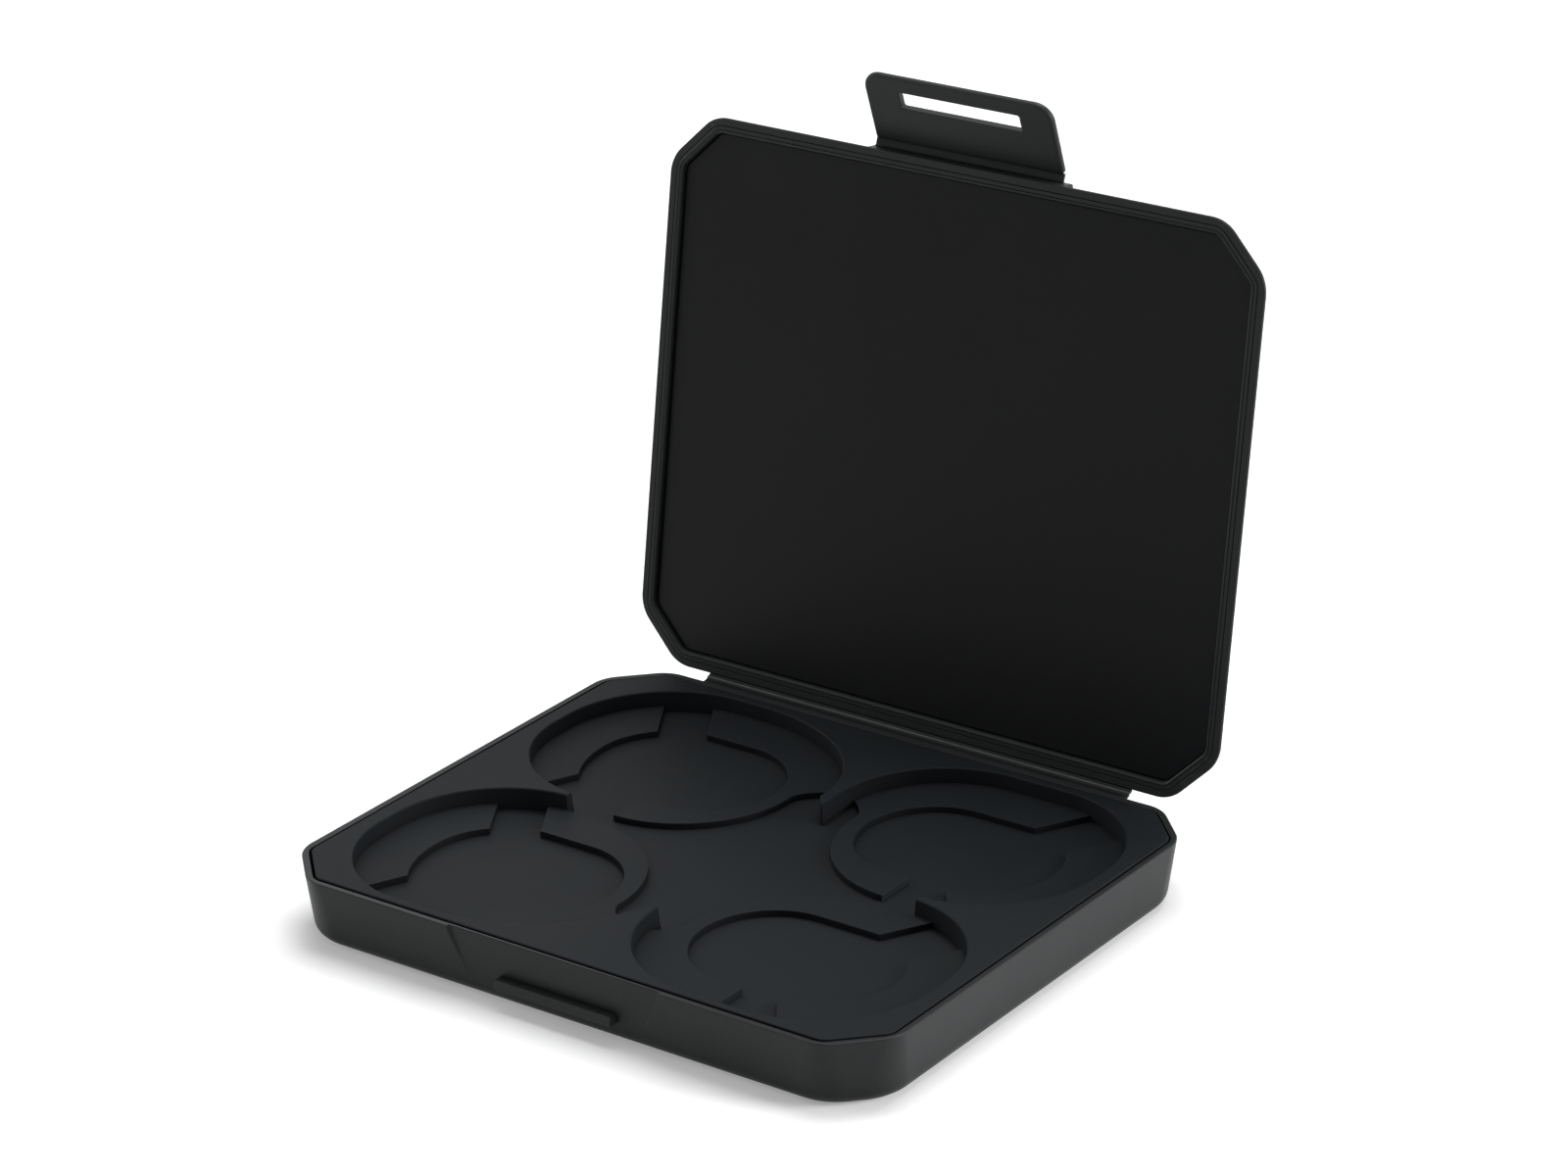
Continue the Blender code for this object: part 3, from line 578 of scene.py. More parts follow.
def grain_group():
    """Moulded grain: fine noise and small cells for the height, and slow noise for the tone."""
    group, given, result = new_group("moulded_grain", {"Vector": None, "Fineness": 3000.0, "Patch": 90.0},
                                     "Height", "Tone")
    fine = noise(group, given["Vector"], given["Fineness"], 2.0, 0.6)
    cells = node(group, "ShaderNodeTexVoronoi", {"Vector": given["Vector"], "Scale": given["Fineness"]},
                 feature="SMOOTH_F1")
    group.links.new(maths(group, "ADD", fine, cells.outputs["Distance"]), result["Height"])
    group.links.new(noise(group, given["Vector"], given["Patch"], 4.0, 0.62), result["Tone"])


def dust_group():
    """Dust: one speck in some of the cells of a grid, as large as its share of the cell."""
    group, given, result = new_group("dust", {"Vector": None, "Cells": 160.0, "Share": 0.05, "Size": 0.02},
                                     "Mask")
    cells = node(group, "ShaderNodeTexVoronoi", {"Vector": given["Vector"], "Scale": given["Cells"]})
    parts = node(group, "ShaderNodeSeparateColor", {0: cells.outputs["Color"]}).outputs
    chosen = maths(group, "LESS_THAN", parts[0], given["Share"])
    reach = maths(group, "MULTIPLY", parts[1], given["Size"])
    near = maths(group, "LESS_THAN", cells.outputs["Distance"], reach)
    group.links.new(maths(group, "MULTIPLY", chosen, near), result["Mask"])


def corner_group():
    """Painted corner shade: how far the surfaces near a point close it in, as in seams and at the foot of a
    wall.
    """
    group, given, result = new_group("corner_shade", {"Reach": 1.0 * MM}, "Mask")
    sky = node(group, "ShaderNodeAmbientOcclusion", {"Distance": given["Reach"]}, samples=6)
    group.links.new(ramp(group, sky.outputs["AO"], OPEN_SKY, CLOSED_SKY), result["Mask"])


def wear_and_highlight_group():
    """Worn edges and painted highlight: where the surface turns outwards sharply, broken up by slow noise."""
    group, given, result = new_group("edge_wear_and_highlight", {"Vector": None, "Breaks": 400.0}, "Mask")
    edge = ramp(group, node(group, "ShaderNodeNewGeometry").outputs["Pointiness"], *WEAR_AND_HIGHLIGHT_TURN)
    breaks = ramp(group, noise(group, given["Vector"], given["Breaks"], 3.0), *WEAR_AND_HIGHLIGHT_BREAKS)
    group.links.new(maths(group, "MULTIPLY", edge, breaks), result["Mask"])


def finish_material(name, colour, rough, fineness, grain, patch, tone, wear_and_highlight, dust, specular, reach):
    """One surface: its colour with slow tone changes, edges painted lighter as worn edges and as painted
    highlight, corners in painted shade, and dust, a gloss that changes with the tone, and its moulded grain
    as a bump."""
    material = bpy.data.materials.new(name)
    material.use_nodes = True
    tree = material.node_tree
    surface = tree.nodes["Principled BSDF"].inputs
    surface["Specular IOR Level"].default_value = specular
    place = node(tree, "ShaderNodeTexCoord").outputs["Object"]

    def group(title, **inputs):
        return node(tree, "ShaderNodeGroup", inputs, node_tree=bpy.data.node_groups[title]).outputs

    def times(light):
        return [min(1.0, channel * light) for channel in colour] + [1.0]

    grains = group("moulded_grain", Vector=place, Fineness=fineness, Patch=patch)
    specks = group("dust", Vector=place, Cells=DUST_CELLS, Share=dust, Size=DUST_SIZE)
    body = mixed(tree, grains["Tone"], times(1.0 - tone), times(1.0 + tone))
    # Edges painted lighter, as worn edges and as painted highlight
    edges = mixed(tree, group("edge_wear_and_highlight", Vector=place)["Mask"], body, times(wear_and_highlight))
    # Painted shade in corners, seams and at the foot of walls
    shaded = mixed(tree, group("corner_shade", Reach=reach)["Mask"], edges, times(CORNER_SHADE))
    tree.links.new(mixed(tree, specks["Mask"], shaded, DUST_COLOUR), surface["Base Color"])
    gloss = ramp(tree, grains["Tone"], *TONES, rough - GLOSS_SPREAD, rough + GLOSS_SPREAD)
    tree.links.new(gloss, surface["Roughness"])
    bump = node(tree, "ShaderNodeBump", {"Height": grains["Height"], "Distance": grain})
    tree.links.new(bump.outputs[0], surface["Normal"])


class FILTERCASE_OT_finishes(Operator):
    """Make the surfaces: grained shell, the hinge's shell colour in painted shade, the fold's painted
    highlight, soft rubber and rubber painted lighter, satin panel
    """

    bl_idname = "filtercase.finishes"
    bl_label = "Finishes"

    def execute(self, context):
        look = context.scene.filtercase_finishes
        for make in (grain_group, dust_group, wear_and_highlight_group, corner_group):
            make()
        # The webs: a darker copy of the shell colour, painted shade
        worked = [channel * HINGE_SHADE_TONE for channel in look.shell]
        # A lighter copy of the rubber: painted light on the right shelves' upright ends
        lit = [channel * END_PAINTED_LIGHT for channel in look.tray]
        for name, colour, rough in (
            ("grained_shell", look.shell, look.shell_rough), ("shaded_hinge", worked, WORKED_ROUGH),
            ("fold_whitening_and_highlight", FOLD_HIGHLIGHT_COLOUR, FOLD_HIGHLIGHT_ROUGH), ("soft_rubber", look.tray, look.tray_rough),
            ("rubber_painted_lighter", lit, look.tray_rough), ("satin_panel", look.liner, look.liner_rough),
        ):
            finish_material(name, colour, rough, *SURFACES[name])
        return {"FINISHED"}


def dress(thing, material, slot, body, *nodes):
    """Gives a piece its material, the body it rides on and the CAD nodes it stands for. The record slot is
    not used.
    """
    thing.data.materials.clear()
    thing.data.materials.append(bpy.data.materials[material])
    if body:
        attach(thing, body)
    if nodes:
        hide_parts(*nodes)


def paint(thing, material, chosen):
    """Gives some of a piece's faces a second material, by one true or false for each face."""
    thing.data.materials.append(bpy.data.materials[material])
    thing.data.polygons.foreach_set("material_index", chosen.astype(np.int32))


# Base

class FILTERCASE_OT_base(Operator):
    """Build the base: drafted wall, rounded foot, rim, front recess and the catch"""

    bl_idname = "filtercase.base"
    bl_label = "Base and catch"

    def execute(self, context):
        sizes = context.scene.filtercase_sizes
        height = sizes.base_height
        foot = BASE_DRAFT * height
        profile = close_rows(turned_profile(
            [(0.0, foot + FOOT_RADIUS * 3), (0.0, foot), (height, 0.0), (height - RIM_TILT, RIM_WIDTH),
             (WALL, foot + WALL), (WALL, foot + WALL + CAP_LEAD)],
            [0.0, FOOT_RADIUS, RIM_ROUND, RIM_INNER_ROUND, FLOOR_ROUND, 0.0],
        ))
        heights, insets = profile[:, 0], profile[:, 1]
        depth = insets - BASE_DRAFT * (height - heights)
        outside = np.arange(len(heights)) < np.argmax(heights)
        drop = 1.0 - np.clip(heights / height, 0.0, 1.0)
        growth = (sizes.foot_corner - sizes.corner_radius) * drop
        outer = sizes.corner_radius + growth - np.maximum(depth, 0.0)
        corners = np.where(outside, outer, corner_radii(sizes, depth, RIM_WIDTH))
        points = stacked(octagon(sizes, insets, corners, FRONT_COLUMNS), heights)
        put_recess(sizes, points, depth)
        base = smooth(put_mesh("case_base", points))
        dress(base, *SHELL, "base", "base_shell")
        put_catch(sizes)
        return {"FINISHED"}


def close_rows(profile):
    """The same line with points between, so that no step is longer than the row step."""
    pieces = [profile[:1]]
    for start, end in zip(profile[:-1], profile[1:]):
        count = max(1, math.ceil(np.linalg.norm(end - start) / ROW_STEP))
        pieces.append(start + (end - start) * (np.arange(1, count + 1) / count)[:, None])
    return np.concatenate(pieces)


def put_recess(sizes, points, inward):
    """Sinks the front wall behind the flap. Each point moves in by mask * depth * (1 - inward / rim): the
    mask falls from 1 to 0 over the slanted ends, and the depth runs out evenly from the rim to the foot."""
    height = sizes.base_height
    front = -sizes.depth / 2
    x, y, z = points[..., 0], points[..., 1], points[..., 2]
    drop = np.clip((height - z) / RECESS_DROP, 0.0, 1.0)
    half = RECESS_HALF_TOP - (RECESS_HALF_TOP - RECESS_HALF_LOW) * drop
    mask = smoothstep(half - np.abs(x - RECESS_MIDDLE), -RECESS_EDGE, RECESS_EDGE)
    share = np.clip(inward[:, None] / RIM_WIDTH, 0.0, 1.0)
    sunk = mask * RECESS_DEPTH * (1.0 - drop) * (1.0 - share)
    points[..., 1] = y + np.where(y < front + FRONT_BAND, sunk, 0.0)


def put_catch(sizes):
    """The catch: a ledge above, a face that leans out downwards, a hooking underside and slanted ends."""
    front = -sizes.depth / 2
    under, ledge = CATCH_UNDER, CATCH_UNDER + CATCH_HEIGHT
    wall = front + BASE_DRAFT * (sizes.base_height - under)
    root, tip = wall + WALL / 2, wall - CATCH_OUT
    shelf = front + BASE_DRAFT * (sizes.base_height - ledge) - CATCH_LEDGE
    section = [(root, under), (tip, under), (tip, under + CATCH_NOSE), (shelf, ledge), (root, ledge)]
    rings = along_x(section, (-CATCH_HALF, CATCH_HALF))
    rings[..., 0] *= np.where(rings[..., 1] < front, 1.0 - CATCH_END_SLOPE / CATCH_HALF, 1.0)
    rings[..., 0] += CATCH_MIDDLE
    catch = round_edges(put_mesh("clasp_catch", rings), CATCH_ROUND, degrees=20.0)
    smooth(catch, degrees=40.0)
    dress(catch, *SHELL, "base", "base_shell")


# Tray

def arc(x, y, radius_x, radius_y, first, last, steps=CURVE_STEPS):
    """Points on an ellipse: x + radius_x cos a, y + radius_y sin a, from one angle to the other."""
    angle = np.radians(np.linspace(first, last, steps + 1))
    return np.stack([x + radius_x * np.cos(angle), y + radius_y * np.sin(angle)], axis=-1)


def quarters(corners, steps=CURVE_STEPS):
    """Four quarter circles, each (x, y, radius), from the right upper corner round to the right lower one."""
    return np.concatenate([arc(x, y, radius, radius, 90 * turn, 90 * turn + 90, steps)
                           for turn, (x, y, radius) in enumerate(corners)])


def well_line(inset, side, row):
    """A well. Left: an elliptic nose towards the middle and two round corners. Right: four round corners."""
    corner = WELL_CORNER - inset
    straight = WELL_HALF_Y - WELL_CORNER
    y = row * WELL_Y
    if side < 0:
        x, half, nose = LEFT_WELL
        edge = x - half + WELL_CORNER
        return np.concatenate([
            arc(x, y, nose - inset, WELL_HALF_Y - inset, -90, 90, 2 * CURVE_STEPS),
            arc(edge, y + straight, corner, corner, 90, 180),
            arc(edge, y - straight, corner, corner, 180, 270)[:-1],
        ])
    x, half = RIGHT_WELL
    reach = half - WELL_CORNER
    return quarters([(x + reach, y + straight, corner), (x - reach, y + straight, corner),
                     (x - reach, y - straight, corner), (x + reach, y - straight, corner)])


def seat_line(side, row):
    """A filter's seat: two half circles joined by straight sides. The left one runs out longer where its
    shelf breaks off in front."""
    x, stretch, front = SEATS[side]
    y = row * SEAT_Y
    return np.concatenate([
        arc(x + stretch / 2, y, SEAT_RADIUS, SEAT_RADIUS, -90, 90),
        arc(x - stretch / 2, y, SEAT_RADIUS, SEAT_RADIUS, 90, 180),
        arc(x - stretch / 2, y, SEAT_RADIUS, front, 180, 270)[1:],
    ])


def finger_line(inset):
    """The finger well: two long points between the rows, and between the columns a cut that leaves each
    divider a sharp tip."""
    waist = RING[1] - RING[2] + FINGER_POINT
    tip, back, front = DIVIDER_TIP
    cut, reach = DIVIDER_CUT
    west, east = FINGER_SIDES

    def half(edge):
        return np.array([(FINGER_RIGHT - inset, FINGER_POINT), (RING[0], waist), (east, edge), (tip, edge),
                         (cut, edge + reach), (west, edge + reach), (-RING[0], waist),
                         (inset - FINGER_LEFT, FINGER_POINT)])
    return np.concatenate([half(back - inset), half(front - inset)[::-1] * (1.0, -1.0)])


def trim_line(side, row):
    """What a shelf lacks towards the middle: beyond its arc, from the divider's point to its shoulder."""
    x, y, radius, turn = RING
    first, last = (-90, turn) if side < 0 else (270, 180 - turn)
    edge = arc(side * x, y, radius, radius, first, last)
    shoulder = SHOULDER * (side, 1.0)
    far, low = -side * TRIM_PAST[0], -TRIM_PAST[1]
    point = -FINGER_LEFT if side < 0 else FINGER_RIGHT
    outside = [(far, shoulder[-1, 1]), (far, low), (point, low), (point, WELL_Y - WELL_HALF_Y)]
    return np.concatenate([edge, shoulder, outside]) * (1.0, row)


def facing(degrees):
    """The direction at an angle in a plane."""
    return np.array([math.cos(math.radians(degrees)), math.sin(math.radians(degrees))])


def to_left(along):
    """A direction in a plane turned by a right angle."""
    return np.array([-along[1], along[0]])


def well_middle(side, row):
    """The middle of a well."""
    return np.array([LEFT_WELL[0] if side < 0 else RIGHT_WELL[0], row * WELL_Y])


def channel_line(side, row):
    """A straight break across a shelf: a box turned to the channel's angle."""
    middle, width, degrees = CHANNELS[side]
    box = np.array([(-1, -1), (1, -1), (1, 1), (-1, 1)]) * (CHANNEL_REACH, width / 2)
    along = facing(degrees)
    return well_middle(side, row) + middle + box[:, :1] * along + box[:, 1:] * to_left(along)


def gap_line(side, row):
    """The wide break at the front of a shelf, from one sloped end to an upright one."""
    end, degrees, stop = GAPS[side]
    along = facing(degrees)
    inner, outer = end - along * GAP_PAST, end + along * WELL_CORNER / 2
    low = -WELL_HALF_Y - GAP_PAST
    line = np.array([inner, outer, (outer[0], low), (stop, low), (stop, inner[1])])
    return well_middle(side, row) + line


def tower(name, line, levels):
    """A closed body through one outline drawn at each (height, inset)."""
    rings = np.stack([line(inset) for height, inset in levels])
    return put_mesh(name, stacked(rings, [height for height, inset in levels]))


def carve(thing, other, operation="DIFFERENCE"):
    """Cuts one body from another, or joins it on, and removes it."""
    change = thing.modifiers.new(operation.title(), "BOOLEAN")
    change.operation = operation
    change.solver = "EXACT"
    change.object = other
    settle(thing)
    bpy.data.objects.remove(other, do_unlink=True)


def shelf_ring(side, row, low, high):
    """One shelf: the well's plan less the seat, the trim, the channel and the gap, with soft edges."""
    ring = tower("shelf", lambda inset: well_line(inset, side, row), [(low, -SHELF_LAP), (high, -SHELF_LAP)])
    for line in (seat_line, trim_line, channel_line, gap_line):
        plan = line(side, row)
        carve(ring, tower("cutter", lambda inset: plan, [(low - CUT_PAST, 0.0), (high + CUT_PAST, 0.0)]))
    return round_edges(ring, SHELF_ROUND, degrees=50.0)


def right_ends(tray, low, high):
    """True for the faces of the right shelves' upright ends between two heights, which get painted light."""
    faces = tray.data.polygons
    normal, centre = np.empty(len(faces) * 3), np.empty(len(faces) * 3)
    faces.foreach_get("normal", normal)
    faces.foreach_get("center", centre)
    x, z = centre[0::3], centre[2::3]
    there = np.abs(x - RIGHT_WELL[0] - RIGHT_STOP) < SHELF_ROUND
    return (normal[0::3] > END_FACING) & there & (z > low) & (z < high)


class FILTERCASE_OT_tray(Operator):
    """Build the soft tray: four stepped wells, their shelves and the finger well"""

    bl_idname = "filtercase.tray"
    bl_label = "Soft tray"

    def execute(self, context):
        sizes = context.scene.filtercase_sizes
        top = sizes.base_height - sizes.tray_sink
        floor, shelf = top - FLOOR_DEPTH, top - SHELF_DEPTH
        radius = sizes.tray_round
        foot = WALL + TRAY_CLEARANCE
        low = BASE_DRAFT * (sizes.base_height - foot) + foot
        edge = RIM_WIDTH + SEAM_WIDTH
        profile = turned_profile([(foot, low + CAP_LEAD), (foot, low), (top, edge), (top, edge + 2 * radius)],
                                 [0.0, 0.0, radius, 0.0])
        corners = sizes.seam_radius + RIM_WIDTH - profile[:, 1]
        outline = octagon(sizes, profile[:, 1], corners) + (0.0, TRAY_BACK)
        tray = put_mesh("soft_tray", stacked(outline, profile[:, 0]))

        angle = np.radians(np.linspace(0.0, 90.0, EDGE_STEPS + 1))
        brim = np.stack([top - radius * (1 - np.sin(angle)), radius * (np.cos(angle) - 1)], axis=-1)
        brim[-1] += (brim[-1] - brim[-2]) * BRIM_PAST
        levels = [(floor, WELL_DRAFT * FLOOR_DEPTH), *brim]
        wells = [(side, row) for side in (-1, 1) for row in (1, -1)]
        for well in wells:
            carve(tray, tower("well", lambda inset: well_line(inset, *well), levels))
        carve(tray, tower("finger_well", finger_line, levels))
        for well in wells:
            carve(tray, shelf_ring(*well, floor - SHELF_LAP, shelf), "UNION")
        smooth(tray, degrees=35.0)
        dress(tray, "soft_rubber", "tray_rubber", "base", "filter_tray")
        # Painted light: the right shelves' upright ends get the lighter copy of the rubber
        paint(tray, "rubber_painted_lighter", right_ends(tray, floor, shelf))
        return {"FINISHED"}


# Lid, liner and clasp

class FILTERCASE_OT_lid(Operator):
    """Build the lid: bevelled outside, flange, raised lip and the boss that carries the clasp"""

    bl_idname = "filtercase.lid"
    bl_label = "Lid and boss"

    def execute(self, context):
        sizes = context.scene.filtercase_sizes
        flange = sizes.base_height + LID_GAP
        top = flange + sizes.lid_height
        slope = LID_SLOPE * (sizes.lid_height - LID_EDGE)
        lip, lip_start = flange - LIP_PROUD, WALL + LIP_CLEARANCE
        lip_end = lip_start + LIP_WIDTH
        seat = lip + LINER_DROP + LINER_SEAT
        line = np.concatenate([
            [(top, slope + LID_LEAD, 0.0), (top, slope, LID_ROUND),
             (flange + FLANGE_SIDE, 0.0, LID_LOWER_ROUND), (flange, 0.0, FLANGE_ROUND)],
            GROOVES + (flange, lip_start, 0.0),
            LIP_EDGE + (lip, lip_end, 0.0),
            [(seat, lip_end, SEAT_ROUND), (seat, lip_end + SEAT_LEAD, 0.0)],
        ])
        height, inset = turned_profile(line[:, :2], line[:, 2]).T
        corners = corner_radii(sizes, inset, lip_start)
        corners = np.where(height > flange + FLANGE_SIDE + HAIR, sizes.corner_radius - inset, corners)
        corners = np.where(height > seat - LEAST, sizes.seam_radius - LIP_WIDTH, corners)
        corners = np.where(height > seat + LEAST, sizes.corner_radius - inset, corners)
        closed = stacked(octagon(sizes, inset, corners), height)
        lid = smooth(put_mesh("case_lid", with_lid(sizes, closed)))
        dress(lid, *SHELL, "lid", "lid_shell")

        rings = along_x(BOSS + (-sizes.depth / 2, flange), (-BOSS_HALF, BOSS_HALF))
        boss = round_edges(put_mesh("clasp_boss", with_lid(sizes, rings)), BOSS_ROUND, degrees=25.0)
        smooth(boss, degrees=40.0)
        dress(boss, *SHELL, "lid", "lid_shell")
        return {"FINISHED"}


class FILTERCASE_OT_liner(Operator):
    """Build the satin panel that lies inside the lid's lip"""

    bl_idname = "filtercase.liner"
    bl_label = "Lid liner"

    def execute(self, context):
        sizes = context.scene.filtercase_sizes
        low = sizes.base_height + LID_GAP - LIP_PROUD + LINER_DROP
        high = low + LINER_THICK
        inset = WALL + LIP_CLEARANCE + LIP_WIDTH + LINER_GAP
        far = inset + CAP_LEAD
        profile = turned_profile([(high, far), (high, inset), (low, inset), (low, far)],
                                 (0.0,) + LINER_ROUNDS + (0.0,))
        corners = sizes.seam_radius + WALL + LIP_CLEARANCE - profile[:, 1]
        closed = stacked(octagon(sizes, profile[:, 1], corners), profile[:, 0])
        liner = smooth(put_mesh("lid_panel", with_lid(sizes, closed)))
        dress(liner, "satin_panel", "liner_satin", "lid", "lid_liner")
        return {"FINISHED"}


def square_to(start, end):
    """The direction in the (y, z) plane that is square to the line between two points."""
    along = (end - start)[1:]
    return to_left(along / np.linalg.norm(along))


class FILTERCASE_OT_hinge(Operator):
    """Build the living hinge along the back: a thin strip that sags, with a bead whose crest is painted
    light, as stress whitening and as a painted highlight
    """

    bl_idname = "filtercase.hinge"
    bl_label = "Lid hinge web"

    def execute(self, context):
        sizes = context.scene.filtercase_sizes
        start = np.array([0.0, sizes.depth / 2, sizes.base_height])
        end = with_lid(sizes, start + (0.0, 0.0, LID_GAP))
        across = square_to(start, end)
        rows, columns = HINGE_GRID
        share = np.linspace(-HINGE_LAP, 1.0 + HINGE_LAP, rows)[:, None]
        middle, spread, rise = HINGE_BEAD
        near = (share - middle) / spread
        sag = HINGE_SAG * np.sin(np.pi * np.clip(share, 0.0, 1.0)) - rise * np.exp(-near ** 2)
        upper = start[1:] + (end - start)[1:] * share - across * (sag + HINGE_SINK)
        section = np.concatenate([upper, upper[::-1] - across * HINGE_THICK])
        x = np.linspace(-HINGE_HALF_WIDTH, HINGE_HALF_WIDTH, columns)
        web = smooth(put_mesh("hinge_web", along_x(section, x)), degrees=50.0)
        dress(web, *SHADED_HINGE, None, "lid_hinge_web")
        # Faces near the bead's crest get the painted highlight
        crest = np.zeros((columns - 1, len(section)), bool)
        crest[:, :rows - 1] = (np.abs(near[:-1] + near[1:]) / 2 < FOLD_HIGHLIGHT_REACH).T
        chosen = np.zeros(len(web.data.polygons), bool)
        chosen[:crest.size] = crest.ravel()
        paint(web, "fold_whitening_and_highlight", chosen)
        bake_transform(web)
        return {"FINISHED"}


def frame_line(low, high, half, corner_low, corner_high, inset, out):
    """A rectangle drawn in by the inset, with its own radius at the lower and the upper corners."""
    low, high, half = low + inset, high - inset, half - inset
    below, above = max(corner_low - inset, LEAST), max(corner_high - inset, LEAST)
    line = quarters([(half - above, high - above, above), (above - half, high - above, above),
                     (below - half, low + below, below), (half - below, low + below, below)], FLAP_STEPS)
    return np.concatenate([line, np.full((len(line), 1), out)], axis=-1)


class FILTERCASE_OT_clasp(Operator):
    """Build the slotted flap and the thin strip it folds on"""

    bl_idname = "filtercase.clasp"
    bl_label = "Clasp flap and web"

    def execute(self, context):
        sizes = context.scene.filtercase_sizes
        axis_y, axis_z = clasp_axis(sizes)
        top = axis_z - FLAP_HANG
        face = axis_y - FLAP_STAND_OUT
        half_thick = sizes.flap_thick / 2
        turn = np.linspace(0.0, np.pi / 2, EDGE_STEPS + 1)
        edge = [(FLAP_ROUND * (1 - math.cos(a)), half_thick - FLAP_ROUND * (1 - math.sin(a))) for a in turn]
        plan = (top - sizes.flap_length, top, sizes.flap_half)
        low, high, half = SLOT
        hole = (top - low, top - high, half, SLOT_CORNER, SLOT_CORNER)
        outside = [frame_line(*plan, *FLAP_CORNERS, inset, out) for inset, out in edge]
        outside.append(frame_line(*plan, *FLAT_CORNERS, FLAP_ROUND + FLAT_EDGE, half_thick))
        inside = [frame_line(*hole, -FLAP_ROUND * SLOT_EDGE - FLAT_EDGE, half_thick)]
        inside += [frame_line(*hole, -inset * SLOT_EDGE, half_thick - (half_thick - out) * SLOT_EDGE)
                   for inset, out in edge[::-1]]
        front = np.concatenate([np.stack(outside) + (FLAP_MIDDLE, 0.0, 0.0),
                                np.stack(inside) + (SLOT_MIDDLE, 0.0, 0.0)])
        rings = np.concatenate([front, front[::-1] * (1.0, 1.0, -1.0)])
        hanging = np.stack([rings[..., 0], face - half_thick - rings[..., 2], rings[..., 1]], axis=-1)
        flap = smooth(put_mesh("flap", with_flap(sizes, hanging), wrap_rows=True))
        dress(flap, *SHELL, "clasp", "clasp_flap")

        start = with_lid(sizes, np.array([0.0, -sizes.depth / 2 + CLASP_IN_BOSS, axis_z]))
        end = with_flap(sizes, np.array([0.0, face - CLASP_IN_FLAP[0], top + CLASP_IN_FLAP[1]]))
        rows, columns = CLASP_GRID
        share = np.linspace(*CLASP_SPAN, rows)[:, None]
        line = (start + (end - start) * share)[:, 1:]
        across = square_to(start, end) * CLASP_HALF_THICK
        middle, spread, rise = CLASP_BEAD
        bead = 1.0 + rise / CLASP_HALF_THICK * np.exp(-((share - middle) / spread) ** 2)
        section = np.concatenate([line + across * bead, line[::-1] - across])
        x = np.linspace(-sizes.flap_half, sizes.flap_half, columns) + FLAP_MIDDLE
        web = smooth(put_mesh("clasp_web", along_x(section, x)), degrees=50.0)
        dress(web, *SHADED_HINGE, None, "clasp_hinge_web")
        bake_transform(web)
        return {"FINISHED"}


# Studio

def area_light(name, place, aim, side, power):
    """A soft square lamp at a place, turned to its aim."""
    lamp = bpy.data.lights.new(name, "AREA")
    lamp.size = side
    lamp.energy = power
    thing = show(name, lamp)
    thing.location = place
    thing.rotation_euler = (Vector(aim) - Vector(place)).to_track_quat("-Z", "Y").to_euler()


def by_eye(tree, lit, seen):
    """One shader for the rays that light the object, and another for camera, glossy and transmission rays."""
    path = node(tree, "ShaderNodeLightPath").outputs
    eye = maths(tree, "MAXIMUM", path["Is Camera Ray"], path["Is Glossy Ray"])
    eye = maths(tree, "MAXIMUM", eye, path["Is Transmission Ray"])
    return node(tree, "ShaderNodeMixShader", {0: eye, 1: lit, 2: seen}).outputs[0]


def put_floor():
    """A pale floor that keeps the shadow and glows a little to the eye."""
    corners = np.array([(-1, -1, 0), (1, -1, 0), (1, 1, 0), (-1, 1, 0)]) * FLOOR_HALF - (0.0, 0.0, FLOOR_DROP)
    mesh = bpy.data.meshes.new("floor")
    mesh.from_pydata(corners.tolist(), [], [(0, 1, 2, 3)])
    floor = show("floor", mesh)
    paper = bpy.data.materials.new("pale_floor")
    paper.use_nodes = True
    tree = paper.node_tree
    surface = tree.nodes["Principled BSDF"]
    surface.inputs["Base Color"].default_value = PAPER
    surface.inputs["Roughness"].default_value = PAPER_ROUGH
    surface.inputs["Specular IOR Level"].default_value = PAPER_SHINE
    glow = node(tree, "ShaderNodeEmission", {"Color": WHITE, "Strength": FLOOR_GLOW})
    both = node(tree, "ShaderNodeAddShader", {0: surface.outputs[0], 1: glow.outputs[0]})
    choice = by_eye(tree, surface.outputs[0], both.outputs[0])
    tree.links.new(choice, tree.nodes["Material Output"].inputs["Surface"])
    mesh.materials.append(paper)


def put_world(scene):
    """White surroundings to the eye, and a weaker even light on the object."""
    world = bpy.data.worlds.new("white_surroundings")
    world.use_nodes = True
    scene.world = world
    tree = world.node_tree
    tree.nodes.clear()
    lit = node(tree, "ShaderNodeBackground", {"Color": WHITE, "Strength": WORLD_LIGHT})
    plain = node(tree, "ShaderNodeBackground", {"Color": WHITE})
    node(tree, "ShaderNodeOutputWorld", {"Surface": by_eye(tree, lit.outputs[0], plain.outputs[0])})


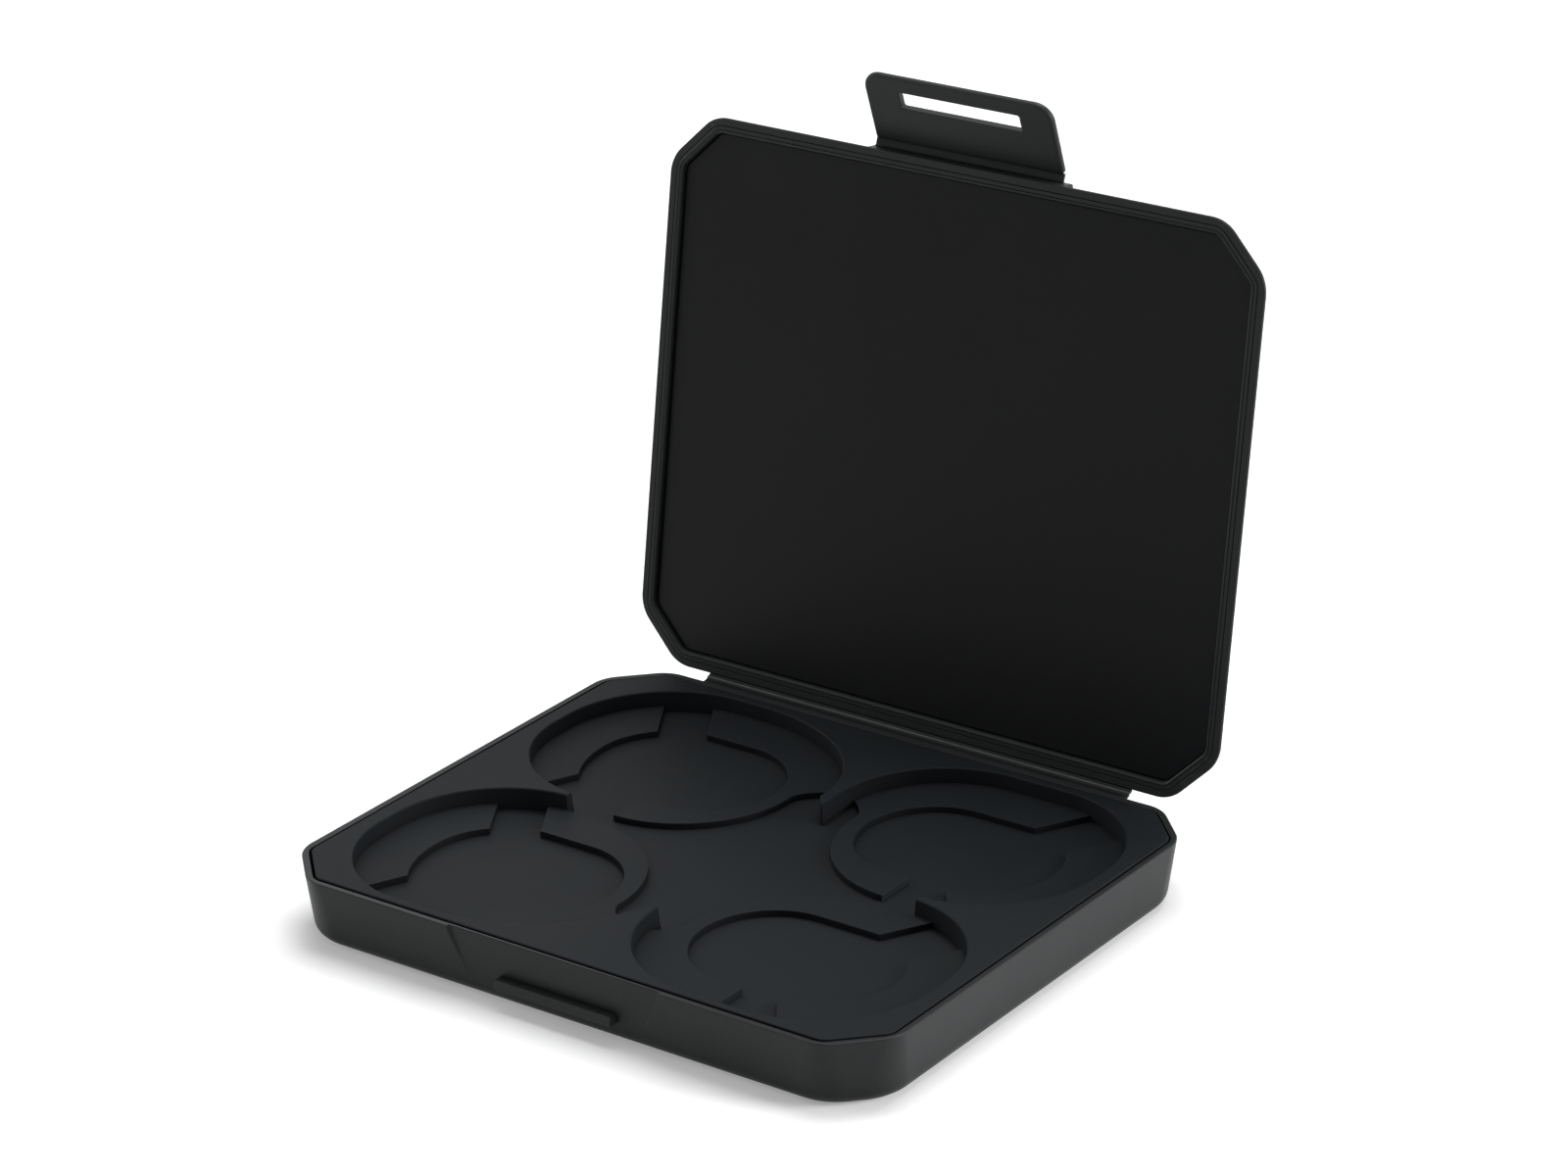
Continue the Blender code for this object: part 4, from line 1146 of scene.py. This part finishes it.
def put_camera(scene):
    """The camera: its eye, the way it looks and its roll about that way."""
    lens = bpy.data.cameras.new("camera")
    lens.sensor_width = SENSOR
    lens.lens = LENS
    lens.shift_x, lens.shift_y = SHIFT
    lens.clip_start, lens.clip_end = CLIP
    eye = show("camera", lens)
    forward = Vector(FORWARD).normalized()
    level = forward.cross(Vector((0.0, 0.0, 1.0))).normalized()
    up = level.cross(forward)
    roll = math.radians(ROLL)
    right = level * math.cos(roll) + up * math.sin(roll)
    turn = Matrix((right, right.cross(forward), -forward)).transposed().to_4x4()
    eye.matrix_world = Matrix.Translation(EYE) @ turn
    scene.camera = eye


class FILTERCASE_OT_stage(Operator):
    """Set the pale floor, the white surroundings, the soft lamps and the camera"""

    bl_idname = "filtercase.stage"
    bl_label = "Studio and camera"

    def execute(self, context):
        scene = context.scene
        scene.view_settings.view_transform = "Standard"
        put_floor()
        put_world(scene)
        for name, lamp in LAMPS.items():
            area_light(name, *lamp)
        put_camera(scene)
        return {"FINISHED"}


class FILTERCASE_PT_panel(Panel):
    """Lists the pieces of the filter case"""

    bl_label = "Filter case"
    bl_idname = "FILTERCASE_PT_panel"
    bl_space_type = "VIEW_3D"
    bl_region_type = "UI"
    bl_category = "Filter Case"

    def draw(self, context):
        sizes = context.scene.filtercase_sizes
        look = context.scene.filtercase_finishes
        for group in (sizes, look):
            for name in group.bl_rna.properties.keys():
                if name not in ("rna_type", "name"):
                    self.layout.prop(group, name)
        for step in STEPS:
            self.layout.operator(step.bl_idname)


STEPS = (
    FILTERCASE_OT_finishes,
    FILTERCASE_OT_base,
    FILTERCASE_OT_tray,
    FILTERCASE_OT_lid,
    FILTERCASE_OT_liner,
    FILTERCASE_OT_hinge,
    FILTERCASE_OT_clasp,
    FILTERCASE_OT_stage,
)
CLASSES = (FILTERCASE_sizes, FILTERCASE_finishes) + STEPS + (FILTERCASE_PT_panel,)


def register():
    for each in CLASSES:
        bpy.utils.register_class(each)
    bpy.types.Scene.filtercase_sizes = PointerProperty(type=FILTERCASE_sizes)
    bpy.types.Scene.filtercase_finishes = PointerProperty(type=FILTERCASE_finishes)


def unregister():
    del bpy.types.Scene.filtercase_finishes
    del bpy.types.Scene.filtercase_sizes
    for each in reversed(CLASSES):
        bpy.utils.unregister_class(each)


def main():
    register()
    bpy.ops.filtercase.finishes()
    bpy.ops.filtercase.base()
    bpy.ops.filtercase.tray()
    bpy.ops.filtercase.lid()
    bpy.ops.filtercase.liner()
    bpy.ops.filtercase.hinge()
    bpy.ops.filtercase.clasp()
    bpy.ops.filtercase.stage()


if __name__ == "__main__":
    main()
